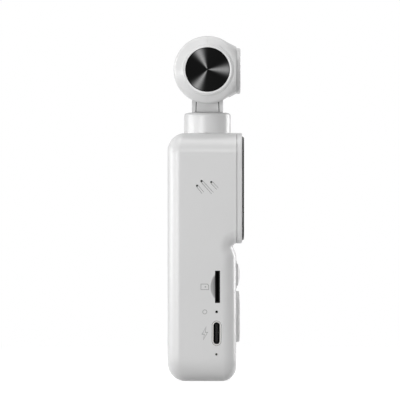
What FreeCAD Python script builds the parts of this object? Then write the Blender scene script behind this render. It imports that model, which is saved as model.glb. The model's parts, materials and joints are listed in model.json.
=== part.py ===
import FreeCAD, Part
import math
import os
import re
import Sketcher

# Pocket gimbal camera: a hand grip with a screen, a pan motor on its top and a
# two-axis head that carries the camera module.
# Frame: origin on the pan axis in the grip's base face, +Z up the grip, +X to
# the screen side, -Y to the side with the card slot and the charging socket.

Vector = FreeCAD.Vector
Rotation = FreeCAD.Rotation
doc = FreeCAD.newDocument("PocketGimbalCamera")
sheet = doc.addObject("Spreadsheet::Sheet", "Sizes")

# Sizes in millimetres and degrees: name, value or formula of earlier names, what it is
SIZES = (
    ("front", 14.63, "pan axis to the grip's front face"),
    ("back", 10.55, "pan axis to the lower back face"),
    ("half_width", 15.0, "half of the grip's width"),
    ("tall", 91.2, "height of the grip"),
    ("pod_tall", 40.58, "height of the screen pod"),
    ("pod_bottom", "tall - pod_tall", "underside of the screen pod"),
    ("pod_back", 12.66, "pan axis to the screen frame's outer face"),
    ("seam", 10.64, "pan axis to the seam between shell and screen frame"),
    ("seam_gap", 0.18, "open width of that seam"),
    ("scoop_drop", 3.38, "height of the slope under the pod"),
    ("scoop_start", "pod_bottom - scoop_drop", "height where the scoop under the pod begins"),
    ("scoop_reach", 2.2, "how far the scoop's slope runs in"),
    ("scoop_round", 6.2, "round where the back face turns into the scoop"),
    ("scoop_hollow", 1.2, "hollow round under the pod"),
    ("corner_top", 7.6, "corner radius at the top, seen from the front"),
    ("corner_bottom", 8.75, "corner radius at the base, seen from the front"),
    ("edge_front_side", 4.7, "round of the front upright edges"),
    ("edge_front_end", 6.6, "round of the front top and bottom edges"),
    ("edge_back", 5.3, "round of the lower back edges"),
    ("frame_edge", 0.4, "round of the screen frame's outer edge"),
    ("wall", 1.6, "wall of the moulded shell"),
    ("back_wall", 2.95, "thickness behind the buttons"),
    ("inner_corner", 6.0, "corner radius inside the shell"),
    ("inner_edge", 4.2, "edge radius inside the shell's front"),
    ("inner_edge_back", 3.0, "edge radius inside the shell's back"),
    ("fit", 0.1, "assembly clearance between fixed pieces"),
    ("run_gap", 0.05, "running clearance on a pin or shaft"),
    ("window_side", 3.0, "grip's side to the opening behind the screen"),
    ("window_half", "half_width - window_side", "half width of that opening"),
    ("window_foot", 3.38, "pod's underside to that opening"),
    ("window_low", "pod_bottom + window_foot", "lower edge of that opening"),
    ("window_drop", 3.6, "grip's top to that opening"),
    ("window_high", "tall - window_drop", "upper edge of that opening"),
    ("glass_thick", 0.75, "screen glass"),
    ("glass_foot", 1.08, "pod's underside to the screen glass"),
    ("glass_low", "pod_bottom + glass_foot", "lower end of the screen glass"),
    ("glass_drop", 1.3, "grip's top to the screen glass"),
    ("glass_high", "tall - glass_drop", "upper end of the screen glass"),
    ("glass_side", 1.2, "grip's side to the screen glass"),
    ("glass_half", "half_width - glass_side", "half width of the screen glass"),
    ("glass_corner", 5.6, "corner radius of the screen glass"),
    ("glass_edge", 0.7, "rounded edge of the screen glass"),
    ("panel_thick", 1.5, "display panel"),
    ("joy_drop", 8.24, "scoop to the joystick's centre"),
    ("joy_height", "scoop_start - joy_drop", "height of the joystick's centre"),
    ("joy_cap", 4.1, "joystick cap radius"),
    ("joy_proud", 1.4, "how far the joystick's dome stands out"),
    ("joy_dome", 0.62, "height of the cap's straight side above the face"),
    ("joy_dish", 4.6, "radius of the dish that the cap sits in"),
    ("joy_dish_deep", 0.72, "depth of that dish"),
    ("joy_ring", 0.45, "width of the trim ring round the dish"),
    ("joy_ring_proud", 0.26, "how far the trim ring stands out"),
    ("joy_hole", 3.0, "hole in the back wall for the joystick's neck"),
    ("joy_neck_wall", 0.8, "wall of the cap's neck round the stem"),
    ("joy_neck_deep", 1.4, "back face to the end of the cap's neck"),
    ("joy_pivot", 6.9, "pan axis to the joystick's pivot"),
    ("joy_block", 4.0, "half size of the joystick's base"),
    ("joy_well", 3.3, "bore of that base"),
    ("yoke", 2.95, "outer radius of the gimbal yoke"),
    ("yoke_bore", 2.15, "bore of the yoke"),
    ("yoke_half", 0.55, "half thickness of the yoke"),
    ("yoke_pin", 0.4, "radius of the yoke's pins"),
    ("joy_stem", 1.2, "joystick stem radius"),
    ("stem_foot", 1.8, "radius of the stem's foot"),
    ("stem_foot_half", 0.35, "half thickness of that foot"),
    ("stem_pin", 0.3, "radius of the stem's pin"),
    ("joy_travel", 0.25, "press travel of the cap"),
    ("joy_gap", 0.67, "free height under the cap"),
    ("pad_drop", 6.0, "joystick's centre to the button surround"),
    ("pad_high", "joy_height - pad_drop", "upper end of the button surround"),
    ("pad_long", 18.9, "length of the button surround"),
    ("pad_low", "pad_high - pad_long", "lower end of the button surround"),
    ("pad_half", 4.6, "half width of the button surround"),
    ("pad_proud", 1.1, "how far the surround stands out"),
    ("pad_seat", 0.45, "how deep the surround is let in"),
    ("pad_edge", 0.3, "round of the surround's edge"),
    ("rim_head", 1.3, "surround's upper end to the raised rim"),
    ("rim_high", "pad_high - rim_head", "upper end of the raised rim"),
    ("rim_foot", 0.4, "surround's lower end to the raised rim"),
    ("rim_low", "pad_low + rim_foot", "lower end of the raised rim"),
    ("rim_half", 4.1, "half width of the raised rim"),
    ("rim_wide", 1.3, "width of the raised rim"),
    ("rim_rise", 0.18, "height of the rim above the surround"),
    ("key_head", 3.85, "surround's upper end to the rocker key"),
    ("key_high", "pad_high - key_head", "upper end of the rocker key"),
    ("key_foot", 2.85, "surround's lower end to the rocker key"),
    ("key_low", "pad_low + key_foot", "lower end of the rocker key"),
    ("key_half", 2.55, "half width of the rocker key"),
    ("key_proud", 1.38, "how far the rocker key stands out"),
    ("key_edge", 0.35, "round of the key's edge"),
    ("key_gap", 0.25, "gap round the rocker key"),
    ("key_pivot", 9.3, "pan axis to the key's pivot pin"),
    ("key_under", 0.9, "pivot pin to the key's underside"),
    ("key_pin", 0.5, "radius of the key's pivot pin"),
    ("key_pin_long", 1.0, "how far the pin stands past the key"),
    ("key_leg", 0.9, "radius of the legs under the key"),
    ("key_leg_offset", 3.8, "pivot to each leg"),
    ("switch_half", 1.5, "half size of a key switch"),
    ("switch_can", 0.7, "height of a key switch's case"),
    ("switch_button", 0.8, "radius of a key switch's button"),
    ("switch_rise", 0.4, "height of that button"),
    ("switch_free", 0.3, "free height between button and key"),
    ("board_thick", 0.8, "button board"),
    ("board_back", 6.0, "pan axis to the button board's outer face"),
    ("board_half", 6.0, "half width of the button board"),
    ("board_reach", 6.0, "joystick's centre to the button board's upper end"),
    ("board_end", 1.1, "surround to the button board's lower end"),
    ("main_board_thick", 1.0, "main circuit board"),
    ("main_board_face", 1.62, "pan axis to the main board's outer face"),
    ("main_board_side", 2.8, "grip's side to the main board's edge"),
    ("main_board_drop", 6.2, "grip's top to the main board"),
    ("main_board_foot", 1.6, "end of the tripod thread to the main board"),
    ("shield_rise", 1.4, "height of the shield can on the main board"),
    ("shield_half", 8.0, "half width of the shield can"),
    ("shield_foot", 4.27, "card slot to the shield can"),
    ("shield_drop", 15.2, "grip's top to the shield can"),
    ("chassis_face", 2.4, "pan axis to the chassis plate"),
    ("chassis_thick", 1.0, "chassis plate"),
    ("chassis_end", 6.0, "shell's wall to the chassis plate's ends"),
    ("ear_tall", 6.0, "height of the chassis plate's ears"),
    ("ear_low", 18.0, "height of the lower ears"),
    ("ear_drop", 33.2, "grip's top to the upper ears"),
    ("post_wall", 0.4, "wall of the posts round the screw heads"),
    ("post_low", 10.5, "height of the lower board screws"),
    ("post_low_side", 5.5, "middle to the lower board screws"),
    ("post_drop", 9.2, "grip's top to the upper board screws"),
    ("post_side", 5.4, "grip's side to the upper board screws"),
    ("shelf_low", 12.6, "height of the shelf under the battery"),
    ("shelf_thick", 1.0, "that shelf"),
    ("shelf_side", 5.0, "grip's side to that shelf"),
    ("cell_side", 4.5, "grip's side to the battery"),
    ("cell_drop", 23.2, "grip's top to the battery"),
    ("cell_round", 1.44, "round of the battery's upright edges"),
    ("side_row", 3.32, "pan axis to the row of openings on the side"),
    ("usb_height", 17.85, "height of the charging socket"),
    ("usb_half_tall", 4.47, "half height of the socket's metal shell"),
    ("usb_half_wide", 1.63, "half width of the socket's metal shell"),
    ("usb_wall", 0.32, "wall of the socket's metal shell"),
    ("usb_deep", 7.3, "depth of the charging socket"),
    ("usb_back", 0.6, "back wall of the charging socket"),
    ("usb_inset", 0.12, "socket mouth behind the side face"),
    ("usb_tongue", 0.35, "half thickness of the socket's tongue"),
    ("tongue_half", 3.35, "half height of the tongue"),
    ("tongue_inset", 0.8, "socket mouth to the tongue"),
    ("reset_height", 25.67, "height of the reset pinhole"),
    ("reset_inset", 1.0, "side wall to the reset switch"),
    ("reset_long", 2.6, "length of the reset switch"),
    ("reset_half", 2.0, "half height of the reset switch"),
    ("reset_rise", 1.5, "row of openings to the reset switch's back"),
    ("reset_pocket", 1.2, "depth of the pocket for the plunger"),
    ("reset_plunger", 0.8, "radius of the reset plunger"),
    ("reset_travel", 0.25, "travel of the reset plunger"),
    ("mic_height", 10.13, "height of the lower microphone hole"),
    ("mic_half", 1.6, "half height of the lower microphone"),
    ("mic_rise", 1.3, "row of openings to that microphone's back"),
    ("mic_long", 2.7, "length of the lower microphone"),
    ("mic_can", 1.05, "radius of the upper microphones"),
    ("mic_can_long", 1.2, "length of the upper microphones"),
    ("mic_groove", 0.46, "radius of the slanted microphone grooves"),
    ("front_hole", -3.80, "pan axis to the hole in the front groove"),
    ("front_hole_drop", 19.43, "grip's top to that hole"),
    ("front_end", -1.60, "pan axis to the end of that groove"),
    ("front_end_drop", 22.10, "grip's top to that end"),
    ("middle_hole", -2.18, "pan axis to the hole in the middle groove"),
    ("middle_hole_drop", 17.70, "grip's top to that hole"),
    ("middle_end", 1.95, "pan axis to the end of that groove"),
    ("middle_end_drop", 22.30, "grip's top to that end"),
    ("rear_hole", 1.40, "pan axis to the hole in the rear groove"),
    ("rear_hole_drop", 18.10, "grip's top to that hole"),
    ("rear_end", 3.75, "pan axis to the end of that groove"),
    ("rear_end_drop", 20.60, "grip's top to that end"),
    ("mic_bore", 0.42, "radius of the holes in those grooves"),
    ("pinhole", 0.5, "radius of the reset and microphone holes"),
    ("slot_middle", 3.65, "pan axis to the card slot's middle"),
    ("slot_half", 0.925, "half width of the card slot"),
    ("slot_low", 28.92, "lower end of the card slot"),
    ("slot_high", 40.73, "upper end of the card slot"),
    ("socket_wall", 0.35, "wall of the card socket beside the slot"),
    ("socket_end", 0.6, "card socket past the slot's ends"),
    ("socket_long", 14.8, "length of the card socket"),
    ("card_half", 0.5, "half thickness of the way for the card"),
    ("card_end", 0.3, "slot's ends to the way for the card"),
    ("notch_middle", 34.8, "height of the thumb notch"),
    ("notch_round", 7.07, "radius of the thumb notch on the face"),
    ("notch_centre", 8.14, "pan axis to the thumb notch's centre"),
    ("notch_stand", 6.8, "height of the notch's ball centre off the face"),
    ("insert_deep", 6.35, "depth of the tripod thread"),
    ("insert_floor", 0.9, "closed end of the tripod insert"),
    ("insert_wall", 4.5, "outer radius of the tripod insert"),
    ("insert_bore", 2.77, "tripod thread's mean radius"),
    ("speaker_inset", 0.73, "shell's front wall to the speaker"),
    ("speaker_half", 7.0, "half width of the speaker"),
    ("speaker_foot", 0.3, "tripod thread's end to the speaker"),
    ("speaker_tall", 3.1, "height of the speaker"),
    ("speaker_round", 1.0, "round of the speaker's upright edges"),
    ("collar", 8.6, "radius of the pan motor's collar"),
    ("collar_rise", 7.48, "height of the collar"),
    ("collar_top", "tall + collar_rise", "top of the collar"),
    ("collar_edge", 1.2, "round of the collar's top edge"),
    ("collar_bore", 7.25, "bore of the collar"),
    ("collar_floor", 0.8, "floor of the collar"),
    ("cable_hole", 1.0, "radius of the cable way through a motor shaft"),
    ("shaft", 1.5, "motor shaft radius"),
    ("shaft_gap", 0.02, "clearance of a shaft in its bearings"),
    ("bearing", 2.4, "outer radius of the motor bearings"),
    ("bearing_thick", 1.0, "thickness of one motor bearing"),
    ("bearing_inset", 0.3, "motor's base to its first bearing"),
    ("hub", 3.0, "outer radius of the hub round the bearings"),
    ("slots", 9.0, "teeth in each motor"),
    ("tooth_half", 0.45, "half width of a stator tooth"),
    ("shoe", 0.6, "thickness of the shoes at the teeth's ends"),
    ("core_wall", 0.9, "ring that the teeth stand on"),
    ("coil_half", 0.95, "half width of a winding"),
    ("coil_over", 0.25, "how far a winding stands past the teeth"),
    ("bell_wall", 0.7, "wall of a motor bell"),
    ("bell_over", 0.2, "how far the bell reaches past the stator"),
    ("air_gap", 0.3, "air gap between stator and bell"),
    ("pan_stator_low", 0.9, "pan motor's base to its stator"),
    ("pan_stator_high", 3.3, "pan motor's base to the stator's far side"),
    ("pan_hub_end", 4.2, "length of the pan motor's hub"),
    ("pan_disc_low", 4.7, "pan motor's base to the bell's disc"),
    ("pan_disc_high", 5.8, "pan motor's base to the disc's far side"),
    ("pan_bell", 6.9, "radius of the pan motor's bell"),
    ("roll_stator_low", 0.9, "roll motor's base to its stator"),
    ("roll_stator_high", 3.5, "roll motor's base to the stator's far side"),
    ("roll_hub_end", 5.0, "length of the roll motor's hub"),
    ("roll_disc_low", 6.0, "roll motor's base to the bell's disc"),
    ("roll_disc_high", 7.1, "roll motor's base to the disc's far side"),
    ("roll_bell", 7.2, "radius of the roll motor's bell"),
    ("tilt_stator_low", 0.8, "tilt motor's base to its stator"),
    ("tilt_stator_high", 2.2, "tilt motor's base to the stator's far side"),
    ("tilt_hub_end", 2.5, "length of the tilt motor's hub"),
    ("tilt_disc_low", 3.0, "tilt motor's base to the bell's disc"),
    ("tilt_disc_high", 3.9, "tilt motor's base to the disc's far side"),
    ("tilt_bell", 6.3, "radius of the tilt motor's bell"),
    ("head_rise", 15.62, "collar to the height where pan, roll and tilt axes meet"),
    ("head_height", "collar_top + head_rise", "height where those axes meet"),
    ("dish", 12.42, "radius of the roll arm's round shell"),
    ("dish_wall", 1.32, "wall of that shell"),
    ("dish_front", 13.4, "roll axis centre to the shell's front face"),
    ("dish_back", 8.5, "roll axis centre to the shell's back by the neck"),
    ("dish_skirt", 4.2, "roll axis centre to the back of the side walls"),
    ("dish_edge", 2.7, "round of the shell's front edge"),
    ("dish_face", 0.9, "front wall of that shell"),
    ("dish_split", 0.06, "half of the parting gap between the shell halves"),
    ("neck_clear", 53.0, "half angle left open for the neck in the round shell"),
    ("nose_clear", 60.0, "half angle left open for the neck in the nose"),
    ("neck_way_back", 0.6, "roll axis centre to the back of the nose's way past the neck"),
    ("bezel_inset", 2.82, "shell's round to the stepped ring"),
    ("bezel", "dish - bezel_inset", "outer radius of the stepped ring"),
    ("bezel_wide", 0.74, "width of the stepped ring"),
    ("bezel_proud", 0.5, "height of the stepped ring"),
    ("bezel_edge", 0.25, "round of the stepped ring's edge"),
    ("trim", "bezel - bezel_wide", "outer radius of the bright ring"),
    ("trim_wide", 0.74, "width of the bright ring"),
    ("trim_gap", 0.06, "gap between the bright ring and the black cap"),
    ("trim_proud", 0.72, "height of the bright ring"),
    ("cap", "trim - trim_wide", "radius of the black roll cap"),
    ("cap_proud", 0.9, "height of the black roll cap"),
    ("cap_edge", 0.3, "round of the black roll cap's edge"),
    ("nose_start", 6.3, "where the flanks of the nose leave the round"),
    ("nose_tuck", 0.08, "how far the flanks start inside the round"),
    ("nose_start_half", "sqrt(dish ^ 2 - nose_start ^ 2) - nose_tuck", "half height there"),
    ("nose", 10.6, "pan axis to the end of the nose"),
    ("nose_half", 8.38, "half height at the end of the nose"),
    ("nose_front", 12.7, "roll axis centre to the nose's front side"),
    ("nose_edge", 2.0, "round of the nose's flanks at the front"),
    ("tilt_offset", 4.5, "tilt axis behind the pan axis"),
    ("tilt_base", 11.2, "pan axis to the tilt motor's base"),
    ("tilt_cap", 8.49, "radius of the tilt motor's cap"),
    ("tilt_cap_outer", 12.2, "pan axis to the tilt cap's outer face"),
    ("tilt_cap_edge", 0.6, "round of the tilt cap's edge"),
    ("tilt_groove", 0.16, "groove between nose and tilt cap"),
    ("tilt_spigot", 0.4, "how far the tilt cap is let into the nose"),
    ("tilt_pocket", 6.6, "bore inside the tilt cap"),
    ("tilt_disc", 6.2, "radius of the seat for the disc in the tilt cap"),
    ("tilt_disc_deep", 0.35, "depth of that seat"),
    ("tilt_inner", 7.9, "pan axis to the inner side of the tilt housing"),
    ("tilt_bore", 6.9, "bore of the tilt housing"),
    ("arm_clear", 9.2, "radius kept free round the pan arm's cup"),
    ("arm_gap", 0.5, "gap between the pan arm and what turns behind it"),
    ("screw_circle", 5.0, "radius of the circle of screws in the roll rotor"),
    ("screw_long", 1.8, "length of those screws"),
    ("cup", 8.8, "radius of the pan arm's round cup"),
    ("cup_wall", 1.1, "wall of the cup"),
    ("cup_floor", 1.2, "floor of the cup"),
    ("arm_front", 8.2, "roll axis centre to the pan arm's front face"),
    ("arm_back", 4.2, "roll axis centre to the pan arm's back face"),
    ("neck_half", 5.72, "half width of the neck"),
    ("neck_gap", 0.12, "collar to the foot of the neck"),
    ("neck_base", "collar_top + neck_gap", "height where the neck spreads over the collar"),
    ("neck_drop", 10.3, "head's centre to the height where the neck turns upright"),
    ("neck_knee", "head_height - neck_drop", "height where the neck turns upright"),
    ("neck_front_base", 5.5, "neck's front face at its base"),
    ("neck_back_base", 2.0, "neck's back face at its base, behind the axis"),
    ("panel_low_half", 4.12, "half width of the neck panel at its foot"),
    ("panel_top_half", 3.85, "half width of the neck panel at its top"),
    ("panel_foot", 0.2, "neck's foot to the neck panel"),
    ("panel_head", 0.6, "cup to the neck panel"),
    ("panel_gap", 0.33, "gap each side of the neck panel"),
    ("panel_deep", 0.9, "thickness of the neck panel"),
    ("camera", 8.0, "radius of the camera body about the tilt axis"),
    ("camera_left", 9.3, "pan axis to the camera's free end"),
    ("camera_right", "tilt_base - tilt_disc_high", "pan axis to the camera's driven end"),
    ("camera_edge", 1.6, "round of the camera body's ends"),
    ("camera_wall", 1.0, "wall of the camera body"),
    ("camera_split", 1.4, "tilt axis to the parting of the camera's shells"),
    ("lens_half", 6.4, "half size of the square lens block"),
    ("lens_block_front", 13.4, "lens block's front face behind the pan axis"),
    ("lens_block_edge", 0.5, "round of that face's edge"),
    ("lens_corner", 2.6, "corner radius of the lens block"),
    ("lens_middle", -1.0, "lens axis beside the pan axis"),
    ("lens_plate", 0.6, "thickness of the black front plate"),
    ("lens_plate_half", 5.9, "half size of the black front plate"),
    ("lens_ring", 4.3, "outer radius of the ring round the lens"),
    ("lens_ring_proud", 0.9, "height of that ring"),
    ("barrel", 3.3, "outer radius of the lens barrel"),
    ("barrel_bore", 2.7, "bore of the lens barrel"),
    ("barrel_proud", 0.4, "how far the barrel stands past the front plate"),
    ("front_glass", 0.35, "thickness of the front glass"),
    ("element_thick", 1.1, "thickness of a lens element"),
    ("element_one", 1.6, "tilt axis to the first lens element"),
    ("element_two", 3.6, "tilt axis to the second lens element"),
    ("element_three", 6.2, "tilt axis to the third lens element"),
    ("sensor_front", 0.6, "tilt axis to the image sensor's face"),
    ("sensor_back", 0.2, "tilt axis to the image sensor's back"),
    ("sensor_half_wide", 3.3, "half width of the image sensor"),
    ("sensor_half_tall", 2.6, "half height of the image sensor"),
    ("sensor_board", 0.6, "thickness of the sensor board"),
    ("sensor_board_half_wide", 6.0, "half width of the sensor board"),
    ("sensor_board_half_tall", 5.6, "half height of the sensor board"),
    ("screw_head", 1.2, "screw head radius"),
    ("screw_head_tall", 0.7, "height of a screw head"),
    ("screw_shank", 0.6, "screw shank radius"),
)
for row, (alias, value, meaning) in enumerate(SIZES, start=1):
    sheet.set(f"A{row}", alias)
    sheet.set(f"B{row}", f"={value}")
    sheet.set(f"C{row}", meaning)
    sheet.setAlias(f"B{row}", alias)
doc.recompute()
ALIASES = {alias for alias, value, meaning in SIZES}

# Turns the local Z axis of a primitive to the named direction
TURNS = {
    "Z": Rotation(),
    "X": Rotation(Vector(0, 1, 0), 90),
    "-X": Rotation(Vector(0, 1, 0), -90),
    "Y": Rotation(Vector(1, 0, 0), -90),
    "-Y": Rotation(Vector(1, 0, 0), 90),
}
# Names that the sizes of the three microphone grooves begin with
MIC_GROOVES = ("front", "middle", "rear")
NODES = []


def in_sheet(text):
    """Expression text with each size's name pointed at the sheet."""
    def point(word):
        return "Sizes." + word[0] if word[0] in ALIASES else word[0]

    return re.sub(r"[a-z][a-z_]*", point, str(text))


def size(text):
    """Value of an expression of named sizes."""
    return float(sheet.evalExpression(in_sheet(text)))


def bind(thing, **sizes):
    """Bind properties of an object to expressions of named sizes."""
    for prop, text in sizes.items():
        thing.setExpression(prop, in_sheet(text))


def place(thing, x, y, z, turn="Z"):
    """Put an object's base at a point given by expressions."""
    thing.Placement = FreeCAD.Placement(Vector(0, 0, 0), TURNS[turn])
    for axis, text in zip("xyz", (x, y, z)):
        thing.setExpression("Placement.Base." + axis, in_sheet(text))


def box(name, x0, x1, y0, y1, z0, z1):
    """Box between two corners, each side an expression."""
    thing = doc.addObject("Part::Box", name)
    bind(thing, Length=f"({x1}) - ({x0})", Width=f"({y1}) - ({y0})", Height=f"({z1}) - ({z0})")
    place(thing, x0, y0, z0)
    return thing


def along(axis, start, u, v):
    """Point at start on a line parallel to axis, with its other two coordinates u and v."""
    return {"X": (start, u, v), "Y": (u, start, v), "Z": (u, v, start)}[axis]


def rod(name, axis, radius, start, end, u=0, v=0):
    """Cylinder from start to end along axis, through (u, v)."""
    thing = doc.addObject("Part::Cylinder", name)
    bind(thing, Radius=radius, Height=f"({end}) - ({start})")
    place(thing, *along(axis, start, u, v), axis)
    return thing


def taper(name, axis, radius_start, radius_end, start, end, u=0, v=0):
    """Cone from start to end along axis, through (u, v)."""
    thing = doc.addObject("Part::Cone", name)
    bind(thing, Radius1=radius_start, Radius2=radius_end, Height=f"({end}) - ({start})")
    place(thing, *along(axis, start, u, v), axis)
    return thing


def gather(name, things):
    """One tool made of several."""
    if len(things) == 1:
        return things[0]
    group = doc.addObject("Part::MultiFuse", name)
    group.Shapes = things
    return group


def cut(name, base, *tools):
    """Base less its tools."""
    result = doc.addObject("Part::Cut", name)
    result.Base = base
    result.Tool = gather(name + "Tools", list(tools))
    return result


def fuse(name, *things):
    """Things joined to one solid."""
    return gather(name, list(things))


def common(name, first, second):
    """What two things share."""
    result = doc.addObject("Part::Common", name)
    result.Base = first
    result.Tool = second
    return result


def ring(name, axis, outer, inner, start, end, u=0, v=0):
    """Plain ring from start to end along axis."""
    hole = rod(name + "Hole", axis, inner, start, end, u, v)
    return cut(name, rod(name + "Disc", axis, outer, start, end, u, v), hole)


def pill(name, half, low, high, x0, x1):
    """Round-ended bar standing on the back face, between two heights."""
    middle = box(name + "Middle", x0, x1, f"-({half})", half, f"({low}) + ({half})", f"({high}) - ({half})")
    foot = rod(name + "Foot", "X", half, x0, x1, 0, f"({low}) + ({half})")
    head = rod(name + "Head", "X", half, x0, x1, 0, f"({high}) - ({half})")
    return fuse(name, middle, foot, head)


def straight(edge, axis):
    """Whether an edge is a line parallel to axis."""
    extent = edge.BoundBox
    lengths = {"X": extent.XLength, "Y": extent.YLength, "Z": extent.ZLength}
    return all((length > 1e-4) == (name == axis) for name, length in lengths.items())


def lies_at(edge, axis, value):
    """Whether a whole edge lies in the plane across axis at value."""
    extent = edge.BoundBox
    low = getattr(extent, axis + "Min")
    high = getattr(extent, axis + "Max")
    return abs(low - value) < 1e-4 and abs(high - value) < 1e-4


def rounded(name, base, radius, wanted):
    """Base with the wanted edges rounded; radius is an expression or gives (start, end) of an edge."""
    doc.recompute()
    result = doc.addObject("Part::Fillet", name)
    result.Base = base
    picked = []
    for number, edge in enumerate(base.Shape.Edges, start=1):
        if wanted(edge):
            start, end = radius(edge) if callable(radius) else (size(radius), size(radius))
            picked.append((number, start, end))
    if not picked:
        raise ValueError(name + " finds no edge to round")
    result.Edges = picked
    doc.recompute()
    return result


def sketch(body, plane, name, points):
    """Closed outline of straight lines through points given by expressions."""
    outline = body.newObject("Sketcher::SketchObject", name)
    support = next(item for item in body.Origin.OriginFeatures if item.Role == plane)
    outline.AttachmentSupport = [(support, "")]
    outline.MapMode = "FlatFace"
    values = [(size(across), size(up)) for across, up in points]
    for index, (across, up) in enumerate(values):
        following = values[(index + 1) % len(values)]
        outline.addGeometry(Part.LineSegment(Vector(across, up, 0), Vector(*following, 0)))
    for index in range(len(points)):
        outline.addConstraint(Sketcher.Constraint("Coincident", (index - 1) % len(points), 2, index, 1))
    for index, texts in enumerate(points):
        for kind, text, value, line in zip(("DistanceX", "DistanceY"), texts, values[index], (-2, -1)):
            if value == 0:
                outline.addConstraint(Sketcher.Constraint("PointOnObject", index, 1, line))
                continue
            rule = outline.addConstraint(Sketcher.Constraint(kind, -1, 1, index, 1, value))
            outline.setExpression(f"Constraints[{rule}]", in_sheet(text))
    return outline


def padded(name, plane, points, length, middle=True):
    """Body with one pad of a straight-sided outline."""
    body = doc.addObject("PartDesign::Body", name)
    pad = body.newObject("PartDesign::Pad", name + "Pad")
    pad.Profile = sketch(body, plane, name + "Outline", points)
    pad.Midplane = middle
    bind(pad, Length=length)
    body.Tip = pad
    return body


def node(label, thing):
    """Name a finished piece."""
    thing.Label = label
    NODES.append(thing)
    return thing


def pieces(label, things):
    """Several separate solids that share one name."""
    group = doc.addObject("Part::Compound", label + "_set")
    group.Links = list(things)
    return node(label, group)


def grip_envelope():
    """Outer form of the grip, shell and screen frame together."""
    body = padded("Envelope", "XZ_Plane", (
        ("-front", "0"),
        ("back", "0"),
        ("back", "scoop_start"),
        ("back - scoop_reach", "pod_bottom"),
        ("pod_back", "pod_bottom"),
        ("pod_back", "tall"),
        ("-front", "tall"),
    ), "2 * half_width")
    scoop = rounded("ScoopRound", body, "scoop_round",
                    lambda edge: straight(edge, "Y") and lies_at(edge, "X", size("back"))
                    and lies_at(edge, "Z", size("scoop_start")))
    hollow = rounded("ScoopHollow", scoop, "scoop_hollow",
                     lambda edge: straight(edge, "Y") and lies_at(edge, "X", size("back - scoop_reach")))
    low = rounded("BaseCorners", hollow, "corner_bottom",
                  lambda edge: straight(edge, "X") and lies_at(edge, "Z", 0))
    high = rounded("TopCorners", low, "corner_top",
                   lambda edge: straight(edge, "X") and lies_at(edge, "Z", size("tall")))

    def lower_back(edge):
        extent = edge.BoundBox
        on_side = lies_at(edge, "Y", size("half_width")) or lies_at(edge, "Y", -size("half_width"))
        if on_side:
            return extent.XMin > size("back - scoop_reach") and extent.ZMax < size("pod_bottom") + 1e-3
        return lies_at(edge, "X", size("back")) and extent.ZMin < size("corner_bottom") / 2

    back = rounded("BackEdges", high, "edge_back", lower_back)

    def front_radius(edge):
        side = size("edge_front_side")
        end = size("edge_front_end")
        extent = edge.BoundBox
        if extent.YLength < 1e-4:
            return side, side
        if extent.ZLength < 1e-4:
            return end, end
        starts_on_side = abs(abs(edge.firstVertex(True).Point.y) - size("half_width")) < 1e-3
        return (side, end) if starts_on_side else (end, side)

    return rounded("FrontEdges", back, front_radius, lambda edge: lies_at(edge, "X", -size("front")))


def grip_cavity():
    """Space inside the shell, with the opening behind the screen."""
    block = box("CavityBlock", "wall - front", "back - back_wall", "wall - half_width", "half_width - wall",
                "wall", "tall - wall")
    corners = rounded("CavityCorners", block, "inner_corner", lambda edge: straight(edge, "X"))
    front = rounded("CavityFront", corners, "inner_edge",
                    lambda edge: lies_at(edge, "X", size("wall - front")))
    ends = rounded("CavityBack", front, "inner_edge_back",
                   lambda edge: lies_at(edge, "X", size("back - back_wall")))
    window = box("CavityWindow", "back - back_wall - 1", "seam + 1", "-window_half", "window_half",
                 "window_low", "window_high")
    return fuse("Cavity", ends, window)


def pinhole(name, radius, x, z):
    """Hole through the side wall with the openings."""
    return rod(name, "Y", radius, "-half_width - 1", "wall - half_width + 1", x, z)


def usb_pill(name, grow, y0, y1):
    """Round-ended bar with the charging socket's outline, upright in the side wall."""
    half = f"usb_half_wide + ({grow})"
    reach = "usb_half_tall - usb_half_wide"
    middle = box(name + "Middle", f"side_row - ({half})", f"side_row + ({half})", y0, y1,
                 f"usb_height - ({reach})", f"usb_height + ({reach})")
    foot = rod(name + "Foot", "Y", half, y0, y1, "side_row", f"usb_height - ({reach})")
    head = rod(name + "Head", "Y", half, y0, y1, "side_row", f"usb_height + ({reach})")
    return fuse(name, middle, foot, head)


def mic_groove(name):
    """Slanted, round-bottomed groove with a hole at one end, running out of the surface at the other."""
    deep = Vector(size(f"{name}_hole"), size("mic_groove / 4 - half_width"), size(f"tall - {name}_hole_drop"))
    shallow = Vector(size(f"{name}_end"), size("-mic_groove - half_width"), size(f"tall - {name}_end_drop"))
    axis = shallow - deep
    groove = doc.addObject("Part::Cylinder", f"{name}Groove")
    bind(groove, Radius="mic_groove")
    groove.Height = axis.Length
    groove.Placement = FreeCAD.Placement(deep, Rotation(Vector(0, 0, 1), axis))
    end_ball = doc.addObject("Part::Sphere", f"{name}GrooveEnd")
    bind(end_ball, Radius="mic_groove")
    end_ball.Placement = FreeCAD.Placement(deep, Rotation())
    bore = pinhole(f"{name}GrooveBore", "mic_bore", f"{name}_hole", f"tall - {name}_hole_drop")
    return [groove, end_ball, bore]


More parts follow.
